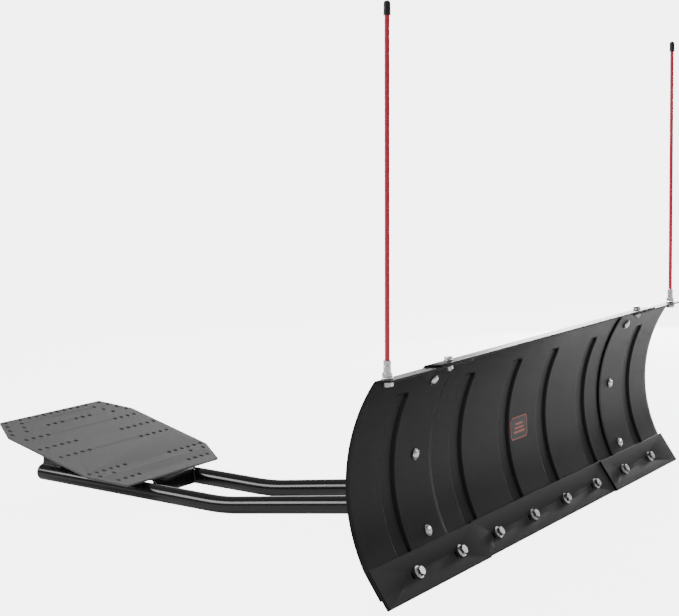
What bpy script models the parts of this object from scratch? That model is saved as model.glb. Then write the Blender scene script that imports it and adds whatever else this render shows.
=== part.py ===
"""Plow blade for a small utility vehicle, with its push frame and mount plate.

Metres, +Z up. The blade looks along -Y, X runs across the blade, and the
cutting edge stands on z = 0. Everything is laid out with y = 0 at the foot of
the cutting edge, and one empty then moves the whole plow so that the middle
of its footprint is at the origin.
"""
import math

import bmesh
import bpy
from mathutils import Matrix, Vector

# ---- driving dimensions -------------------------------------------------
BLADE_WIDTH = 1.320          # 52 inches across the cutting edge
SHEET = 0.003                # mouldboard and flange thickness
GAP = 0.0003                 # between pieces that touch
LAP = SHEET + GAP            # the centre section sits this far behind the ends

FACE_RADIUS = 0.3032         # back of the end sections, seen from the side
FACE_CENTRE = (-0.2380, 0.1803)
FLANGE_TOP = 0.3749
FLANGE_FRONT = -0.0365
FLANGE_BEND = 0.0025
FLAT_START = math.radians(-23.0)
FLAT_LEAN = math.radians(29.8)
FLAT_LENGTH = 0.0537

END_SEAM = 0.380             # inner edge of the end sections
CENTRE_HALF = 0.495          # half length of the centre section
BEADS_CENTRE = (-0.2825, -0.085, 0.085, 0.2825)
BEAD_END = 0.533
BEAD_HALF = 0.0245
BEAD_FLOOR_HALF = 0.0195
BEAD_DEPTH = 0.005
BEAD_TOP = 0.338
BEAD_FULL = 0.330
BEAD_FADE = 0.054
BEAD_LOW = 0.042

EDGE_HEIGHT = 0.072
EDGE_THICK = 0.0065
EDGE_SEAM = 0.297
EDGE_BOLT_PITCH = 0.1524     # 6 inches
EDGE_BOLT_DOWN = 0.0389      # along the sheet, below the end of its curve
SEAM_BOLT_X = 0.4385
SEAM_BOLT_HEIGHTS = (0.3475, 0.2155, 0.0800)
FLANGE_BOLT_X = 0.434
FLANGE_BOLT_Y = -0.0165
BOLT_R = 0.0050
BOLT_HOLE_R = 0.0058

MARKER_X = 0.640
MARKER_Y = -0.0170
MARKER_R = 0.004
MARKER_LENGTH = 0.575
MARKER_LEAN = {"left": math.radians(4.7), "right": math.radians(3.9)}

TUBE_X = 0.092
TUBE_R = 0.01905
TUBE_BORE_R = 0.0165
TUBE_FRONT_Y = 0.2325
TUBE_BEND = (0.757, 0.0178)
TUBE_BEND_RADIUS = 0.50
TUBE_END_Y = 1.291
TUBE_FRONT_SLOPE = 0.0506    # falls towards the bend
TUBE_REAR_SLOPE = 0.1052     # climbs towards the mount

KING_Y = 0.205
KING_R = 0.008
CROSS_TUBE = 0.045
CROSS_TUBE_WALL = 0.003
CROSS_TUBE_HALF = 0.130
CROSS_TUBE_Z = 0.022
PLATE = 0.006
PIVOT_PLATE_R = 0.140
INDEX_R = 0.115
INDEX_STEP = math.radians(10.0)
INDEX_HOLES_ASIDE = 3        # on each side of the straight ahead hole
INDEX_PIN_R = 0.006

TRIP_Y, TRIP_Z = 0.096, 0.085
TRIP_ROD_R = 0.006
RIB_X = 0.165
RIB_THICK = 0.006
RIB_REAR = 0.122
SPRING_X = 0.120
SPRING_TOP = (0.090, 0.300)
SPRING_FOOT = (0.225, 0.100)

MOUNT_TILT = math.radians(20.0)
MOUNT_FRONT = (0.964, 0.0681)   # top edge of the plate's nose
MOUNT_THICK = 0.0045
MOUNT_LENGTH = 0.395
MOUNT_OUTLINE = ((-0.167, 0.0), (0.167, 0.0), (0.215, 0.075), (0.218, 0.322), (0.173, MOUNT_LENGTH),
                 (-0.173, MOUNT_LENGTH), (-0.218, 0.322), (-0.215, 0.075))
MOUNT_HOLE_R = 0.0055
HOLE_PITCH = 0.024
HINGE_Y, HINGE_Z = 1.258, 0.117
HINGE_R = 0.005
CROSS_ANGLE_Y = 0.966
CROSS_ANGLE_TOP = 0.0640
CROSS_ANGLE_LEG = 0.038
CROSS_ANGLE_THICK = 0.004
LIFT_Y = 0.400
LIFT_BAR_R = 0.008

CAP_R = 0.0056
CAP_HEIGHT = 0.0045
CAP_SKIRT = 0.018
MARKER_FOOT = 0.0138         # bottom of the rod above the flange
# the footprint runs from the tip of the left marker's cap to the rear edge of the mount plate
lean = MARKER_LEAN["left"]
plow_front = MARKER_Y - (MARKER_FOOT + MARKER_LENGTH) * math.sin(lean) - CAP_R * math.cos(lean)
plow_back = MOUNT_FRONT[0] + MOUNT_LENGTH * math.cos(MOUNT_TILT) + MOUNT_THICK * math.sin(MOUNT_TILT)
CENTRE_Y = (plow_back + plow_front) / 2

# ---- scene --------------------------------------------------------------
for old in list(bpy.data.objects):
    bpy.data.objects.remove(old, do_unlink=True)

parts = bpy.data.collections.new("plow_blade")
cutters = bpy.data.collections.new("cutters")
for collection in (parts, cutters):
    bpy.context.scene.collection.children.link(collection)

plow = bpy.data.objects.new("plow", None)
plow.location = (0.0, -CENTRE_Y, 0.0)
parts.objects.link(plow)


def joint_empty(name, y, z):
    """An empty on a joint's axis."""
    empty = bpy.data.objects.new(name, None)
    empty.parent = plow
    empty.location = (0.0, y, z)
    parts.objects.link(empty)
    return empty


def in_parent(parent, place):
    """A place in plow coordinates, seen from the parent."""
    return place if parent is plow else Matrix.Translation(-parent.location) @ place


def material(name, colour, roughness, metallic):
    mat = bpy.data.materials.new(name)
    mat.use_nodes = True
    shader = mat.node_tree.nodes["Principled BSDF"]
    shader.inputs["Base Color"].default_value = (*colour, 1.0)
    shader.inputs["Roughness"].default_value = roughness
    shader.inputs["Metallic"].default_value = metallic
    return mat


black_powder = material("black_powder_coat", (0.022, 0.022, 0.024), 0.42, 0.0)
edge_black = material("edge_black", (0.018, 0.018, 0.019), 0.38, 0.0)
gloss_black = material("gloss_black_tube", (0.010, 0.010, 0.011), 0.16, 0.0)
speckled = material("speckled_plate", (0.060, 0.060, 0.062), 0.50, 0.2)
zinc = material("zinc_plate", (0.72, 0.73, 0.75), 0.28, 1.0)
red_rod = material("red_fibreglass", (0.52, 0.020, 0.035), 0.25, 0.0)
black_vinyl = material("black_vinyl", (0.012, 0.012, 0.012), 0.50, 0.0)
spring_steel = material("spring_steel", (0.35, 0.35, 0.36), 0.35, 1.0)


# ---- helpers ------------------------------------------------------------
def add_mesh(name, mesh, mat, place=Matrix.Identity(4), parent=None, smooth=None):
    """Link a mesh as a named part, placed in plow coordinates."""
    parent = parent or plow
    mesh.materials.clear()
    mesh.materials.append(mat)
    if smooth is not None:
        mesh.shade_smooth()
        mesh.set_sharp_from_angle(angle=smooth)
    obj = bpy.data.objects.new(name, mesh)
    obj.parent = parent
    obj.matrix_basis = in_parent(parent, place)
    parts.objects.link(obj)
    return obj


def bm_mesh(name, bm):
    bmesh.ops.recalc_face_normals(bm, faces=bm.faces)
    mesh = bpy.data.meshes.new(name)
    bm.to_mesh(mesh)
    bm.free()
    return mesh


def box_mesh(name, low, high):
    bm = bmesh.new()
    size = [b - a for a, b in zip(low, high)]
    centre = [(a + b) / 2 for a, b in zip(low, high)]
    bmesh.ops.create_cube(bm, size=1.0, matrix=Matrix.Translation(centre) @ Matrix.Diagonal((*size, 1.0)))
    return bm_mesh(name, bm)


def between(start, end):
    """A frame whose Z runs from start to end, with its origin halfway."""
    start, end = Vector(start), Vector(end)
    turn = (end - start).to_track_quat("Z", "Y").to_matrix().to_4x4()
    return Matrix.Translation((start + end) / 2) @ turn


def rod_mesh(name, start, end, radius, sides=12):
    bm = bmesh.new()
    length = (Vector(end) - Vector(start)).length
    bmesh.ops.create_cone(bm, cap_ends=True, segments=sides, radius1=radius, radius2=radius,
                          depth=length, matrix=between(start, end))
    return bm_mesh(name, bm)


def flat_mesh(name, outline, thickness, holes=()):
    """A flat plate: outline and holes are closed loops of (x, y), extruded evenly about z = 0."""
    curve = bpy.data.curves.new(name, "CURVE")
    curve.dimensions = "2D"
    curve.fill_mode = "BOTH"
    curve.extrude = thickness / 2
    for loop in (outline, *holes):
        spline = curve.splines.new("POLY")
        spline.points.add(len(loop) - 1)
        for point, (x, y) in zip(spline.points, loop):
            point.co = (x, y, 0.0, 1.0)
        spline.use_cyclic_u = True
    return mesh_of_curve(name, curve)


def mesh_of_curve(name, curve):
    """The curve's solid as a mesh with its caps welded on."""
    holder = bpy.data.objects.new(name + "_curve", curve)
    bpy.context.scene.collection.objects.link(holder)
    seen = holder.evaluated_get(bpy.context.evaluated_depsgraph_get())
    mesh = bpy.data.meshes.new_from_object(seen)
    bpy.data.objects.remove(holder, do_unlink=True)
    bm = bmesh.new()
    bm.from_mesh(mesh)
    bmesh.ops.remove_doubles(bm, verts=bm.verts, dist=1e-6)
    bmesh.ops.recalc_face_normals(bm, faces=bm.faces)
    bm.to_mesh(mesh)
    bm.free()
    return mesh


def circle(x, y, radius, sides=12, turn=0.0):
    steps = [turn + math.tau * k / sides for k in range(sides)]
    return [(x + radius * math.cos(a), y + radius * math.sin(a)) for a in steps]


def turned(name, profile, mat, place, steps=12, parent=None):
    """A turned piece: profile is (radius, height) from the top of the axis down its outer side."""
    mesh = bpy.data.meshes.new(name)
    closed = profile[0][0] > 0.0
    verts = [(r, 0.0, z) for r, z in profile]
    edges = [(k, k + 1) for k in range(len(verts) - 1)]
    if closed:
        edges.append((len(verts) - 1, 0))
    mesh.from_pydata(verts, edges, [])
    obj = add_mesh(name, mesh, mat, place, parent)
    screw = obj.modifiers.new("turn", "SCREW")
    screw.steps = steps
    screw.render_steps = steps
    screw.use_merge_vertices = True
    screw.merge_threshold = 0.00001
    screw.use_smooth_shade = False
    return obj


def cut(obj, mesh, operation="DIFFERENCE", place=Matrix.Identity(4)):
    """Cut a part with a mesh, or join the mesh to it. Both are in plow coordinates."""
    tool = bpy.data.objects.new(obj.name + "_tool", mesh)
    tool.parent = plow
    tool.matrix_basis = place
    tool.hide_render = True
    tool.display_type = "WIRE"
    cutters.objects.link(tool)
    modifier = obj.modifiers.new(operation.lower(), "BOOLEAN")
    modifier.operation = operation
    modifier.object = tool
    modifier.solver = "EXACT"


# side view plates: local x is world y, local y is world z, thickness along world x
SIDE_VIEW = Matrix(((0, 0, 1, 0), (1, 0, 0, 0), (0, 1, 0, 0), (0, 0, 0, 1)))


def side_plate(x):
    return Matrix.Translation((x, 0.0, 0.0)) @ SIDE_VIEW


# ---- bodies' joint axes -------------------------------------------------
swivel = joint_empty("swivel_axis", KING_Y, 0.0)
index = joint_empty("index_axis", KING_Y + INDEX_R, 0.0)
trip = joint_empty("trip_axis", TRIP_Y, TRIP_Z)
mount = joint_empty("mount_axis", HINGE_Y, HINGE_Z)


# ---- mouldboard ---------------------------------------------------------
def face_point(angle, back=0.0):
    """A point on the curved back of the end sections, moved back by an amount."""
    radius = FACE_RADIUS + back
    return (FACE_CENTRE[0] + radius * math.cos(angle), FACE_CENTRE[1] + radius * math.sin(angle))


def face_angle(height, back=0.0):
    return math.asin((height - FACE_CENTRE[1]) / (FACE_RADIUS + back))


def flat_point(up, back=0.0):
    """A point on the straight foot of the sheet, measured down from where the curve ends."""
    y, z = face_point(FLAT_START, back)
    return (y - up * math.sin(FLAT_LEAN), z - up * math.cos(FLAT_LEAN))


def sheet_rows(back):
    """The sheet's back, from the flange's lip down to its foot, as (y, z, normal_y, normal_z)."""
    top = FLANGE_TOP + back
    corner = face_angle(top, back)
    rows = [(FLANGE_FRONT, top, 0.0, 1.0), (face_point(corner, back)[0] - FLANGE_BEND, top, 0.0, 1.0)]
    heights = [BEAD_TOP, BEAD_FULL]
    span = BEAD_FULL - BEAD_FADE
    heights += [BEAD_FULL - span * k / 9 for k in range(1, 9)]
    angles = [corner - FLANGE_BEND / FACE_RADIUS] + [face_angle(h, back) for h in heights] + [FLAT_START]
    for angle in angles:
        y, z = face_point(angle, back)
        rows.append((y, z, math.cos(angle), math.sin(angle)))
    foot = [(face_point(FLAT_START, back)[1] - z) / math.cos(FLAT_LEAN) for z in (BEAD_FADE, BEAD_LOW)]
    for down in (*foot, FLAT_LENGTH):
        y, z = flat_point(down, back)
        rows.append((y, z, math.cos(FLAT_LEAN), -math.sin(FLAT_LEAN)))
    return rows


def bead_depth(z, is_floor):
    if not is_floor or z > BEAD_TOP - 0.001 or z < BEAD_LOW + 0.001:
        return 0.0
    return BEAD_DEPTH


def mouldboard(name, x_low, x_high, beads, back, holes):
    """One pressed section: an open sheet, beads pressed backwards, thickened towards the front."""
    columns = [(x_low, False), (x_high, False)]
    for x in beads:
        columns += [(x - BEAD_HALF, False), (x - BEAD_FLOOR_HALF, True)]
        columns += [(x + BEAD_FLOOR_HALF, True), (x + BEAD_HALF, False)]
    columns.sort()
    rows = sheet_rows(back)
    bm = bmesh.new()
    grid = []
    for x, is_floor in columns:
        line = []
        for y, z, ny, nz in rows:
            depth = bead_depth(z, is_floor)
            line.append(bm.verts.new((x, y + depth * ny, z + depth * nz)))
        grid.append(line)
    for left, right in zip(grid, grid[1:]):
        for k in range(len(rows) - 1):
            bm.faces.new((left[k], left[k + 1], right[k + 1], right[k]))
    mesh = bpy.data.meshes.new(name)
    bm.to_mesh(mesh)
    bm.free()
    obj = add_mesh(name, mesh, black_powder, parent=trip)
    shell = obj.modifiers.new("sheet", "SOLIDIFY")
    shell.thickness = SHEET
    shell.offset = 1.0
    shell.use_even_offset = True
    for start, end in holes:
        cut(obj, rod_mesh(name + "_hole", start, end, BOLT_HOLE_R, 8))
    return obj


HOLE_REACH = 0.03            # a hole's line, to each side of the sheet


def through(x, y, z, ny, nz):
    """A line through the sheet along its normal, front end first."""
    return ((x, y - HOLE_REACH * ny, z - HOLE_REACH * nz), (x, y + HOLE_REACH * ny, z + HOLE_REACH * nz))


def seam_hole(side, height):
    angle = face_angle(height)
    y, z = face_point(angle)
    return through(side * SEAM_BOLT_X, y, z, math.cos(angle), math.sin(angle))


def edge_hole(x):
    """A cutting edge bolt's line, through the back of the end sections' sheet."""
    y, z = flat_point(EDGE_BOLT_DOWN)
    return through(x, y, z, math.cos(FLAT_LEAN), -math.sin(FLAT_LEAN))


def flange_hole(side, x, y):
    return (side * x, y, FLANGE_TOP - HOLE_REACH), (side * x, y, FLANGE_TOP + HOLE_REACH)


edge_bolt_xs = [EDGE_BOLT_PITCH * (k - 3.5) for k in range(8)]
centre_holes = [edge_hole(x) for x in edge_bolt_xs if abs(x) < CENTRE_HALF]
for side in (-1, 1):
    centre_holes += [seam_hole(side, h) for h in SEAM_BOLT_HEIGHTS]
    centre_holes.append(flange_hole(side, FLANGE_BOLT_X, FLANGE_BOLT_Y))
mouldboard("mouldboard_centre", -CENTRE_HALF, CENTRE_HALF, BEADS_CENTRE, LAP, centre_holes)

for word, side in (("left", -1), ("right", 1)):
    ends = sorted((side * END_SEAM, side * BLADE_WIDTH / 2))
    holes = [edge_hole(x) for x in edge_bolt_xs if x * side > END_SEAM]
    holes += [seam_hole(side, h) for h in SEAM_BOLT_HEIGHTS]
    holes.append(flange_hole(side, FLANGE_BOLT_X, FLANGE_BOLT_Y))
    holes.append(flange_hole(side, MARKER_X, MARKER_Y))
    mouldboard(f"mouldboard_{word}", *ends, (side * BEAD_END,), 0.0, holes)


# ---- cutting edge -------------------------------------------------------
def edge_place(back):
    """Frame of a bar: x along the blade, y up the bar from the floor, z out of its front face."""
    up = Vector((0.0, math.sin(FLAT_LEAN), math.cos(FLAT_LEAN)))
    front = Vector((0.0, -math.cos(FLAT_LEAN), math.sin(FLAT_LEAN)))
    middle = Vector((0.0, *flat_point(0.0, back))) + front * (SHEET + GAP + EDGE_THICK / 2)
    lowest = EDGE_THICK / 2 * front.z        # the rear corner is this far below the middle plane's foot
    foot = middle - up * ((middle.z - lowest) / up.z)
    return Matrix(((1, 0, 0, foot.x), (0, up.y, front.y, foot.y), (0, up.z, front.z, foot.z), (0, 0, 0, 1)))


def bar_local(back, point):
    return edge_place(back).inverted() @ Vector(point)


def cutting_edge(name, x_low, x_high, back):
    outline = [(x_low, 0.0), (x_high, 0.0), (x_high, EDGE_HEIGHT), (x_low, EDGE_HEIGHT)]
    holes = []
    for x in edge_bolt_xs:
        if x_low < x < x_high:
            holes.append(circle(x, bar_local(back, edge_hole(x)[0]).y, BOLT_HOLE_R, 8))
    mesh = flat_mesh(name, outline, EDGE_THICK, holes)
    return add_mesh(name, mesh, edge_black, edge_place(back), parent=trip)


cutting_edge("cutting_edge_centre", -EDGE_SEAM + GAP, EDGE_SEAM - GAP, LAP)
cutting_edge("cutting_edge_left", -BLADE_WIDTH / 2, -EDGE_SEAM, 0.0)
cutting_edge("cutting_edge_right", EDGE_SEAM, BLADE_WIDTH / 2, 0.0)

# backing bar behind the foot of the centre section
BACKING_HALF = 0.460
BACKING_HEIGHT = 0.030
BACKING_THICK = 0.004
backing_place = edge_place(LAP) @ Matrix.Translation((0.0, 0.0, -EDGE_THICK / 2 - 2 * GAP - SHEET - BACKING_THICK / 2))
backing_bolt_up = bar_local(LAP, edge_hole(0.0)[0]).y
backing_low = backing_bolt_up - BACKING_HEIGHT / 2
backing_holes = [circle(x, backing_bolt_up, BOLT_HOLE_R, 8) for x in edge_bolt_xs if abs(x) < BACKING_HALF]
backing_outline = [(-BACKING_HALF, backing_low), (BACKING_HALF, backing_low),
                   (BACKING_HALF, backing_low + BACKING_HEIGHT), (-BACKING_HALF, backing_low + BACKING_HEIGHT)]
add_mesh("backing_bar", flat_mesh("backing_bar", backing_outline, BACKING_THICK, backing_holes),
         black_powder, backing_place, parent=trip)


# ---- bolts --------------------------------------------------------------
WASHER = 0.0016              # thickness


def bolt(name, start, end, grip_front, grip_back, head, nut=(0.0085, 0.008), washer=0.0105, parent=None):
    """A bolt with its washer and nut as one solid. start is out in front and end behind.

    grip_front and grip_back are distances from the middle of start and end to
    the faces that the head's washer and the nut press on.
    """
    head_r, head_h = head
    nut_r, nut_h = nut
    front = grip_front + GAP
    back = grip_back + GAP
    profile = [(0.0, front + WASHER + head_h), (head_r * 0.7, front + WASHER + head_h),
               (head_r, front + WASHER + head_h * 0.6), (head_r, front + WASHER), (washer, front + WASHER),
               (washer, front), (BOLT_R, front), (BOLT_R, -back), (washer, -back),
               (washer, -back - WASHER), (nut_r, -back - WASHER), (nut_r, -back - WASHER - nut_h),
               (0.0, -back - WASHER - nut_h)]
    place = between(end, start)
    return turned(name, profile, zinc, place, steps=8, parent=parent or trip)


LAP_FLAT = LAP * math.cos(FLAT_START + FLAT_LEAN)   # the lap where the sheet is straight
for number, x in enumerate(edge_bolt_xs, 1):
    front_face = SHEET + GAP + EDGE_THICK - (0.0 if abs(x) > EDGE_SEAM else LAP_FLAT)
    behind = LAP_FLAT + GAP + BACKING_THICK if abs(x) < BACKING_HALF else 0.0
    bolt(f"edge_bolt_{number}", *edge_hole(x), front_face, behind, head=(0.0090, 0.0075), washer=0.0115)

WASHER_CLEAR = 0.0009        # a flat washer on the hollow face of the curve
for word, side in (("left", -1), ("right", 1)):
    for place_name, height in zip(("top", "middle", "low"), SEAM_BOLT_HEIGHTS):
        bolt(f"seam_bolt_{word}_{place_name}", *seam_hole(side, height), SHEET + WASHER_CLEAR, LAP,
             head=(0.0095, 0.0045), washer=0.0100)
    line = flange_hole(side, FLANGE_BOLT_X, FLANGE_BOLT_Y)
    bolt(f"flange_bolt_{word}", line[1], line[0], LAP, SHEET, head=(0.0078, 0.006), nut=(0.0076, 0.007),
         washer=0.0080)


# ---- markers ------------------------------------------------------------
SOCKET_R = 0.0063
SOCKET_TOP = 0.030
FOOT_R = 0.0078
FOOT_TOP = 0.008
for word, side in (("left", -1), ("right", 1)):
    lean = MARKER_LEAN[word]
    base = Matrix.Translation((side * MARKER_X, MARKER_Y, FLANGE_TOP + GAP))
    up = base @ Matrix.Rotation(lean, 4, "X")
    socket = [(0.0, MARKER_FOOT - GAP), (MARKER_R + GAP, MARKER_FOOT - GAP), (MARKER_R + GAP, SOCKET_TOP),
              (SOCKET_R, SOCKET_TOP), (SOCKET_R, FOOT_TOP), (FOOT_R, FOOT_TOP), (FOOT_R, 0.0026), (0.0, 0.0026)]
    turned(f"marker_socket_{word}", socket, zinc, up, parent=trip)
    stud = [(0.0, 0.0018), (0.0098, 0.0018), (0.0098, 0.0), (0.0046, 0.0), (0.0046, -SHEET - 2 * GAP),
            (0.0084, -SHEET - 2 * GAP), (0.0084, -SHEET - 0.0060), (0.0072, -SHEET - 0.0085),
            (0.0045, -SHEET - 0.0100), (0.0, -SHEET - 0.0100)]
    turned(f"marker_nut_{word}", stud, zinc, base, parent=trip)
    tip = MARKER_FOOT + MARKER_LENGTH
    rod = [(0.0, tip), (MARKER_R, tip), (MARKER_R, MARKER_FOOT), (0.0, MARKER_FOOT)]
    turned(f"marker_rod_{word}", rod, red_rod, up, parent=trip)
    cap = [(0.0, tip + CAP_HEIGHT), (0.0035, tip + CAP_HEIGHT - 0.0005), (CAP_R, tip), (CAP_R, tip - CAP_SKIRT),
           (MARKER_R + GAP, tip - CAP_SKIRT), (MARKER_R + GAP, tip + GAP), (0.0, tip + GAP)]
    turned(f"marker_cap_{word}", cap, black_vinyl, up, parent=trip)


# ---- ribs, spring bar and springs ---------------------------------------
def arc(centre, radius, start, end, count):
    """Points of an arc; angles in degrees."""
    turns = [math.radians(start + (end - start) * k / count) for k in range(count + 1)]
    return [(centre[0] + radius * math.cos(a), centre[1] + radius * math.sin(a)) for a in turns]


RIB_KNUCKLE = RIB_REAR - TRIP_Y
rib_back = LAP + GAP
rib_top = math.degrees(face_angle(0.330, rib_back))
rib_low = math.degrees(face_angle(0.078, rib_back))
rib_outline = arc(FACE_CENTRE, FACE_RADIUS + rib_back, rib_top, rib_low, 12)
rib_outline += arc((TRIP_Y, TRIP_Z), RIB_KNUCKLE, -110, 0, 6)
rib_outline += [(RIB_REAR, 0.235), (0.112, 0.305), (0.098, 0.327), (0.072, 0.334)]
rib_holes = [circle(TRIP_Y, TRIP_Z, TRIP_ROD_R + GAP, 12), circle(*SPRING_TOP, TRIP_ROD_R + GAP, 12)]
for word, side in (("left", -1), ("right", 1)):
    mesh = flat_mesh(f"rib_{word}", rib_outline, RIB_THICK, rib_holes)
    add_mesh(f"rib_{word}", mesh, black_powder, side_plate(side * RIB_X), parent=trip)

SPRING_BAR_HALF = 0.185
add_mesh("spring_bar", rod_mesh("spring_bar", (-SPRING_BAR_HALF, *SPRING_TOP), (SPRING_BAR_HALF, *SPRING_TOP),
                                TRIP_ROD_R), zinc, parent=trip, smooth=0.6)

HOOK_CLEAR = 0.012           # from a hook's pivot to the end of its stem
HOOK_LENGTH = 0.030
STEM_R = 0.002
NECK = 0.004
COIL_R = 0.0135
for word, side in (("left", -1), ("right", 1)):
    foot = Vector((side * SPRING_X, *SPRING_FOOT))
    head = Vector((side * SPRING_X, *SPRING_TOP))
    half = (head - foot).length / 2 - HOOK_CLEAR
    coil_half = half - HOOK_LENGTH
    profile = [(0.0, half), (STEM_R, half), (STEM_R, coil_half + NECK), (COIL_R, coil_half),
               (COIL_R, -coil_half), (STEM_R, -coil_half - NECK), (STEM_R, -half), (0.0, -half)]
    turned(f"trip_spring_{word}", profile, spring_steel, between(foot, head), parent=swivel)


# ---- swivel -------------------------------------------------------------
pivot_plate_low = CROSS_TUBE_Z + CROSS_TUBE + GAP
swivel_low = pivot_plate_low + PLATE + GAP
swivel_top = swivel_low + PLATE
LEG_FRONT = RIB_REAR + GAP
LEG_THICK = 0.006
leg_back = LEG_FRONT + LEG_THICK
BRACKET_HALF = 0.190
LEG_TOP = 0.132
SHELF_BACK = 0.166           # the angle's flat leg, on the swivel plate
SHELF_THICK = 0.005
SHELF_INSET = 0.010

TONGUE_HALF = 0.026
tongue_end = KING_Y + INDEX_R
swivel_outline = [(-0.185, leg_back + GAP), (0.185, leg_back + GAP), (0.185, SHELF_BACK), (0.140, 0.236),
                  (TONGUE_HALF, 0.262)]
swivel_outline += arc((0.0, tongue_end), TONGUE_HALF, 0, 180, 8)
swivel_outline += [(-TONGUE_HALF, 0.262), (-0.140, 0.236), (-0.185, SHELF_BACK)]
swivel_holes = [circle(0.0, KING_Y, KING_R + GAP), circle(0.0, tongue_end, INDEX_PIN_R + GAP)]
add_mesh("swivel_plate", flat_mesh("swivel_plate", swivel_outline, PLATE, swivel_holes), black_powder,
         Matrix.Translation((0.0, 0.0, swivel_low + PLATE / 2)), parent=swivel)

bracket = add_mesh("swivel_bracket", box_mesh("bracket_leg", (-BRACKET_HALF, LEG_FRONT, swivel_low),
                                              (BRACKET_HALF, leg_back, LEG_TOP)), black_powder, parent=swivel)
cut(bracket, box_mesh("bracket_shelf", (-BRACKET_HALF + SHELF_INSET, leg_back - 0.002, swivel_top + GAP),
                      (BRACKET_HALF - SHELF_INSET, SHELF_BACK, swivel_top + GAP + SHELF_THICK)), "UNION")
EAR_R = 0.020
EAR_THICK = 0.006
ear_outline = arc((TRIP_Y, TRIP_Z), EAR_R, 120, 290, 8) + [(LEG_FRONT + 0.003, 0.076), (LEG_FRONT + 0.003, 0.122)]
for side in (-1, 1):
    for step in (-1, 1):
        ear_x = side * RIB_X + step * (RIB_THICK / 2 + 0.0012 + EAR_THICK / 2)
        ear = flat_mesh("ear", ear_outline, EAR_THICK)
        cut(bracket, ear, "UNION", side_plate(ear_x))
cut(bracket, rod_mesh("trip_bore", (-0.25, TRIP_Y, TRIP_Z), (0.25, TRIP_Y, TRIP_Z), TRIP_ROD_R + GAP))

TRIP_ROD_HALF = 0.186
add_mesh("trip_hinge_rod", rod_mesh("trip_hinge_rod", (-TRIP_ROD_HALF, TRIP_Y, TRIP_Z),
                                    (TRIP_ROD_HALF, TRIP_Y, TRIP_Z), TRIP_ROD_R), zinc, parent=swivel, smooth=0.6)

ANCHOR_HALF = 0.136
anchor_outline = [(-ANCHOR_HALF, swivel_top + GAP), (ANCHOR_HALF, swivel_top + GAP), (ANCHOR_HALF, 0.108),
                  (0.100, 0.116), (0.085, 0.098), (-0.085, 0.098), (-0.100, 0.116), (-ANCHOR_HALF, 0.108)]
anchor_holes = [circle(side * SPRING_X, SPRING_FOOT[1], 0.0045, 10) for side in (-1, 1)]
UPRIGHT = Matrix(((1, 0, 0, 0), (0, 0, -1, 0), (0, 1, 0, 0), (0, 0, 0, 1)))
add_mesh("spring_anchor", flat_mesh("spring_anchor", anchor_outline, 0.005, anchor_holes), black_powder,
         Matrix.Translation((0.0, SPRING_FOOT[0] + 0.002, 0.0)) @ UPRIGHT, parent=swivel)

HOUSING_TOP = 0.118
floor_top = swivel_top + 0.0045
pin_bore = INDEX_PIN_R + GAP
housing_profile = [(0.012, HOUSING_TOP), (0.012, swivel_top + GAP), (pin_bore, swivel_top + GAP),
                   (pin_bore, floor_top), (0.0095, floor_top), (0.0095, HOUSING_TOP - 0.004),
                   (pin_bore, HOUSING_TOP - 0.004), (pin_bore, HOUSING_TOP)]
at_index = Matrix.Translation((0.0, tongue_end, 0.0))
turned("index_housing", housing_profile, black_powder, at_index, parent=swivel)

# ---- index pin ----------------------------------------------------------
PIN_TIP = pivot_plate_low - 0.003
COLLAR_R = 0.0088
collar_low = floor_top + GAP
collar_top = collar_low + 0.004
PIN_TOP = 0.140
HANDLE_HALF, HANDLE_Z, HANDLE_R = 0.028, 0.134, 0.004
KNOB_R = 0.009
pin_profile = [(0.0, PIN_TOP), (KNOB_R, PIN_TOP), (KNOB_R, 0.128), (INDEX_PIN_R, 0.124), (INDEX_PIN_R, collar_top),
               (COLLAR_R, collar_top), (COLLAR_R, collar_low), (INDEX_PIN_R, collar_low),
               (INDEX_PIN_R, PIN_TIP + 0.003), (INDEX_PIN_R - 0.002, PIN_TIP), (0.0, PIN_TIP)]
pin = turned("index_pin", pin_profile, zinc, at_index, parent=index)
cut(pin, rod_mesh("pin_handle", (-HANDLE_HALF, tongue_end, HANDLE_Z), (HANDLE_HALF, tongue_end, HANDLE_Z),
                  HANDLE_R, 8), "UNION")
spring_profile = [(COLLAR_R, HOUSING_TOP - 0.004 - GAP), (COLLAR_R, collar_top + GAP),
                  (INDEX_PIN_R + GAP, collar_top + GAP), (INDEX_PIN_R + GAP, HOUSING_TOP - 0.004 - GAP)]
turned("index_spring", spring_profile, spring_steel, at_index, parent=swivel)

# ---- push frame ---------------------------------------------------------
def tube_height(y):
    slope = TUBE_FRONT_SLOPE if y < TUBE_BEND[0] else -TUBE_REAR_SLOPE
    return TUBE_BEND[1] + slope * (TUBE_BEND[0] - y)


def tube_path(front, back):
    """Centre line (y, z) with a round bend, from front to back."""
    fall, climb = math.atan(TUBE_FRONT_SLOPE), math.atan(TUBE_REAR_SLOPE)
    reach = TUBE_BEND_RADIUS * math.tan((fall + climb) / 2)
    start = (TUBE_BEND[0] - reach * math.cos(fall), TUBE_BEND[1] + reach * math.sin(fall))
    centre = (start[0] + TUBE_BEND_RADIUS * math.sin(fall), start[1] + TUBE_BEND_RADIUS * math.cos(fall))
    bend = arc(centre, TUBE_BEND_RADIUS, -90 - math.degrees(fall), -90 + math.degrees(climb), 5)
    return [(front, tube_height(front)), *bend, (back, tube_height(back))]


def round_bar(name, points, radius, bevel_resolution=2):
    curve = bpy.data.curves.new(name, "CURVE")
    curve.dimensions = "3D"
    curve.bevel_depth = radius
    curve.bevel_resolution = bevel_resolution
    curve.use_fill_caps = True
    spline = curve.splines.new("POLY")
    spline.points.add(len(points) - 1)
    for point, co in zip(spline.points, points):
        point.co = (*co, 1.0)
    return mesh_of_curve(name, curve)


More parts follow.
